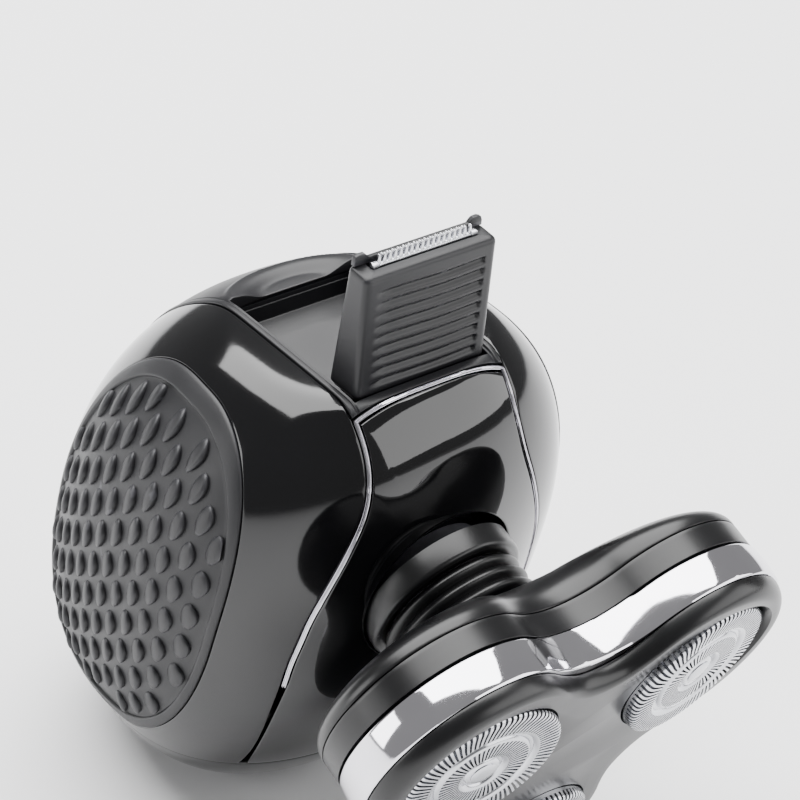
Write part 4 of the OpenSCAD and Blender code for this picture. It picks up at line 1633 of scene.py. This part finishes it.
# ---------------------------------------------------------------- head
@dataclass
class ShavingHead:
    """Cover, ring, bright band, foil frame, foils and cutters.

    Attributes:
        cover_s: Station along the head's axis where the cover starts.
        seam_s: Station of the seam between cover and ring.
        band_s: Station where the bright band starts.
        band_end_s: Station where it ends and the foil frame starts.
        frame_end_s: Station of the frame's face.
        steps: Points round each ring.
        outer_slots: Slots in a foil's outer ring.
        inner_slots: Slots in its inner ring.
        bore_r: Radius of the frame's bores for the foils.
    """

    cover_s: float = 6.2
    seam_s: float = 14.5
    band_s: float = 18.6
    band_end_s: float = 24.2
    frame_end_s: float = 27.1
    steps: int = 360
    outer_slots: int = 84
    inner_slots: int = 56
    bore_r: float = 12.35

    def ring(self, s: float | np.ndarray, inset: float | np.ndarray, mix: float = 1.0,
             throat: float = 13.0) -> np.ndarray:
        """A ring of the head's outline.

        Args:
            s: Station along the axis.
            inset: How far the ring lies inside the full outline.
            mix: One for the full outline, zero for the throat's circle.
            throat: Radius of that circle.

        Returns:
            Points in the design frame.
        """
        angles = np.linspace(0, 2 * math.pi, self.steps, endpoint=False)
        reach = HEAD.outline(angles, HEAD.lobe_r) - inset
        return HEAD.place(polar(throat + (reach - throat) * mix, angles, s))

    def wall(self, profile: Sequence[tuple[float, float]]) -> Shape:
        """A closed wall that follows the outline, from (station, inset) pairs."""
        return loft([self.ring(s, inset) for s, inset in profile], join_ends=True)

    def cover(self) -> Shape:
        """The cover from the throat out to the seam.

        Returns:
            Vertices and faces.
        """
        rings = [self.ring(self.cover_s + ahead, 1.0, 0.0, throat)
                 for ahead, throat in ((1.2, 10.5), (0.4, 10.6), (0.1, 10.9), (0.0, 11.4))]
        for t in np.linspace(0, 1, 40) ** 1.35:
            mix = (1 - (1 - t) ** 2.6) ** 1.1
            throat = 12.0 + 1.0 * min(t * 5, 1.0)
            rings.append(self.ring(self.cover_s + 0.05 + (self.seam_s - self.cover_s - 0.25) * t, 0.0,
                                   mix, throat))
        rings += [self.ring(self.seam_s - 0.1, 0.04), self.ring(self.seam_s - 0.06, 0.22),
                  self.ring(self.seam_s - 0.06, 1.5)]
        for t in (0.75, 0.5, 0.3, 0.15):
            mix = (1 - (1 - t) ** 2.6) ** 1.1
            s = self.cover_s + 1.4 + (self.seam_s - self.cover_s - 1.4) * t
            rings.append(self.ring(s, 1.6, mix, 11.4))
        return loft(rings, join_ends=True)

    def band(self) -> Shape:
        """The bright band, with a low tab in each valley.

        Returns:
            Vertices and faces.
        """
        angles = np.linspace(0, 2 * math.pi, self.steps, endpoint=False)
        tab = 0.28 * smoothstep((HEAD.valley(angles) - 0.66) / 0.02)
        height = self.band_end_s - self.band_s
        rings = []
        for f, inset in ((0.012, 0.3), (0.018, 0.06), (0.04, -0.1)):
            rings.append(self.ring(self.band_s + height * f - tab, inset))
        for f in np.linspace(0.08, 0.92, 12):
            rings.append(self.ring(self.band_s + height * f - tab * (1 - f),
                                   -0.12 - 0.22 * math.sin(math.pi * f)))
        for f, inset in ((0.96, -0.1), (0.985, 0.06), (0.99, 0.3), (0.99, 1.6)):
            rings.append(self.ring(self.band_s + height * f, inset))
        rings.append(self.ring(self.band_s + height * 0.012 - tab, 1.6))
        return loft(rings, join_ends=True)

    def frame(self) -> Shape:
        """The black frame that holds the foils, drawn back in each valley.

        Returns:
            Vertices and faces.
        """
        angles = np.linspace(0, 2 * math.pi, self.steps, endpoint=False)
        notch = 1.5 * smoothstep((HEAD.valley(angles) - 0.45) / 0.4)
        start = self.band_end_s + 0.04
        rings = []
        for t in np.linspace(0, 1, 14):
            s = start + (self.frame_end_s - start) * math.sin(t * math.pi / 2)
            rings.append(self.ring(s, 0.25 + 2.3 * (1 - math.cos(t * math.pi / 2)) + notch * (1 - 0.3 * t)))
        rings += [self.ring(self.frame_end_s, 5.0), self.ring(self.frame_end_s, 9.0)]
        under = [self.ring(start, 9.0), self.ring(start, 3.0)]
        return loft(under + rings, caps=True)

    def foil(self) -> Shape:
        """One slotted cap on its own axis, with two rings of slots cut through.

        Returns:
            Vertices and faces.
        """
        profile = [(12.1, -4.6), (12.1, -2.6), (12.1, -1.5), (12.1, -0.9), (12.04, -0.5), (11.85, -0.2),
                   (11.5, -0.04), (11.1, 0.0), (10.2, 0.0), (9.3, 0.0), (8.6, 0.0), (8.25, -0.06),
                   (8.0, -0.22), (7.85, -0.5), (7.4, -0.5), (7.25, -0.22), (7.05, -0.06), (6.8, 0.0),
                   (5.8, 0.0), (4.8, 0.0), (3.8, 0.0),
                   (3.5, -0.08), (3.25, -0.3), (3.1, -0.55), (2.75, -0.55), (2.6, -0.3), (2.35, -0.16),
                   (1.5, -0.1), (0.4, -0.08)]
        shape = np.array(profile)
        slope = unit(np.gradient(shape, axis=0))
        inner = shape - 0.34 * np.stack([-slope[:, 1], slope[:, 0]], axis=-1) * [-1, -1]
        cols = self.outer_slots * 4
        angles = np.linspace(0, 2 * math.pi, cols, endpoint=False)

        def sheet(pairs: np.ndarray) -> np.ndarray:
            """Rows of points from (radius, height) pairs, with the slots slanted a little."""
            slant = np.radians(5.0) * (12.1 - pairs[:, 0]) / 3.5
            return np.array([polar(r, angles + a, z) for (r, z), a in zip(pairs, slant)])

        keep = np.ones((len(profile) - 1, cols), bool)
        outer_rows, inner_rows = slice(2, 10), slice(17, 20)
        for rows, slots in ((outer_rows, self.outer_slots), (inner_rows, self.inner_slots)):
            pitch = cols // slots
            keep[rows] &= np.arange(cols) % pitch >= pitch // 2
        verts, faces = slab(sheet(shape), sheet(np.maximum(inner, [0.02, -9])), keep, wrap=True)
        last = (len(profile) - 1) * cols
        faces.append([last + i for i in range(cols)])
        faces.append([len(profile) * cols + last + i for i in range(cols)][::-1])
        hub = solid_turned([(1.9, -0.3), (1.95, 0.0), (1.8, 0.1), (0.9, 0.16), (0.3, 0.18)], 48)
        return joined([(verts, faces), hub])

    def build(self, bench: Bench) -> None:
        """Build and dress the head.

        Args:
            bench: The frame, origin and finishes.
        """
        bench.piece("head_cover_moulding", self.cover(), SATIN_LACQUER, "head", ["head_cover"], "satin_black")
        ring = [(self.seam_s + 0.06, 0.22), (self.seam_s + 0.1, 0.06), (self.seam_s + 0.24, 0.0),
                *[(s, 0.0) for s in np.linspace(self.seam_s + 0.6, self.band_s - 0.6, 6)],
                (self.band_s - 0.34, 0.0), (self.band_s - 0.3, 0.06), (self.band_s - 0.3, 0.3),
                (self.band_s - 0.3, 1.6), (self.seam_s + 0.06, 1.6)]
        bench.piece("head_ring_moulding", self.wall(ring), SATIN_LACQUER, "head", ["head_ring"],
                    "satin_black")
        bench.piece("chrome_band_plated", self.band(), CHROME_PLATE, "head", ["chrome_band"], "chrome")
        bore = solid_turned([(self.bore_r, -14.0), (self.bore_r, -0.9), (13.2, 0.6), (13.2, 3.0)], 144)
        bores = []
        for k in range(3):
            turned, spot = HEAD.cutter(k)
            bores.append(moved(bore, lambda p, m=turned, o=spot: p @ m.T + o))
        bench.piece("foil_frame_moulding", self.frame(), SATIN_LACQUER, "shaving_frame", ["foil_frame"],
                    "satin_black", bevel=0.2, cutters=bores)
        cap = self.foil()
        for k in range(3):
            turned, spot = HEAD.cutter(k)
            bench.piece(f"foil_{k + 1}_cap", cap, FOIL_STAINLESS, f"foil_{k + 1}", [f"foil_{k + 1}"],
                        "foil_steel", at=bench.matrix(turned, spot))
        bench.dress(BLADE_STEEL, "cutter_1", "cutter_2", "cutter_3")


# ---------------------------------------------------------------- studio
@dataclass(frozen=True)
class Studio:
    """Camera, pale floor and soft lights.

    Attributes:
        lens: Focal length in mm.
        eye: The camera's place in the design frame, in mm.
        right: Its right.
        down: Its down.
        ahead: Where it looks.
        aim: The point that the lamps face, in metres in the row frame.
        sky: Strength of the even light from all round.
    """

    lens: float = 126.0
    eye: tuple[float, float, float] = (-211.69, -237.34, 213.5)
    right: tuple[float, float, float] = (0.78633, -0.61180, 0.08596)
    down: tuple[float, float, float] = (-0.29221, -0.49089, -0.82075)
    ahead: tuple[float, float, float] = (0.54434, 0.62026, -0.56478)
    aim: tuple[float, float, float] = (0.0, 0.0, 0.05)
    sky: float = 0.32

    def camera(self, bench: Bench) -> None:
        """Place the camera at the viewing angle.

        Args:
            bench: The frame, origin and finishes.
        """
        data = bpy.data.cameras.new("camera")
        data.lens, data.sensor_width, data.clip_start = self.lens, 36.0, 0.01
        camera = bpy.data.objects.new("camera", data)
        bpy.context.scene.collection.objects.link(camera)
        axes = np.column_stack([self.right, -np.array(self.down), -np.array(self.ahead)])
        camera.matrix_world = bench.matrix(axes, np.array(self.eye))
        bpy.context.scene.camera = camera

    def lamp(self, name: str, place: tuple[float, float, float], size: tuple[float, float],
             power: float) -> None:
        """Hang one softbox that faces the shaver, in metres in the row frame.

        Args:
            name: The lamp's name.
            place: Where it hangs.
            size: Width and height.
            power: Watts.
        """
        data = bpy.data.lights.new(name, "AREA")
        data.shape, data.size, data.size_y, data.energy = "RECTANGLE", size[0], size[1], power
        lamp = bpy.data.objects.new(name, data)
        bpy.context.scene.collection.objects.link(lamp)
        lamp.location = place
        lamp.rotation_euler = (Vector(self.aim) - Vector(place)).to_track_quat("-Z", "Y").to_euler()

    def floor(self) -> None:
        """Lay the pale floor."""
        mesh = bpy.data.meshes.new("floor")
        half = 4.0
        mesh.from_pydata([(-half, -half, 0), (half, -half, 0), (half, half, 0), (-half, half, 0)], [],
                         [[0, 1, 2, 3]])
        floor = bpy.data.objects.new("floor", mesh)
        material = bpy.data.materials.new("pale_floor")
        material.use_nodes = True
        base = material.node_tree.nodes["Principled BSDF"]
        base.inputs["Base Color"].default_value = linear("#f4f4f5")
        base.inputs["Roughness"].default_value = 0.9
        mesh.materials.append(material)
        bpy.context.scene.collection.objects.link(floor)

    def build(self, bench: Bench) -> None:
        """Set up the studio.

        Args:
            bench: The frame, origin and finishes.
        """
        world = bpy.data.worlds.new("studio")
        world.use_nodes = True
        world.node_tree.nodes["Background"].inputs[0].default_value = linear("#ffffff")
        world.node_tree.nodes["Background"].inputs[1].default_value = self.sky
        bpy.context.scene.world = world
        self.floor()
        self.lamp("overhead", (0.1, 0.35, 1.1), (1.5, 1.3), 60.0)
        self.lamp("front_bank", (0.8, -0.95, 0.6), (1.7, 0.9), 19.0)
        self.lamp("left_bank", (-1.1, 0.5, 0.35), (0.5, 0.6), 6.0)
        self.camera(bench)


def corners(box: tuple[Vector, Vector]) -> list[list[float]]:
    """A box as plain lists of numbers."""
    return [list(map(float, corner)) for corner in box]


def main() -> None:
    """Build the shaver's looks round its frame."""
    logging.basicConfig(level=logging.INFO, format="%(name)s: %(message)s")
    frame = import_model()
    bench = Bench(frame)
    shells = BodyShells()
    shells.build(bench)
    Grips(shells).build(bench)
    BackControls().build(bench)
    Trimmer().build(bench)
    Neck().build(bench)
    ShavingHead().build(bench)
    Studio().build(bench)


if __name__ == "__main__":
    main()
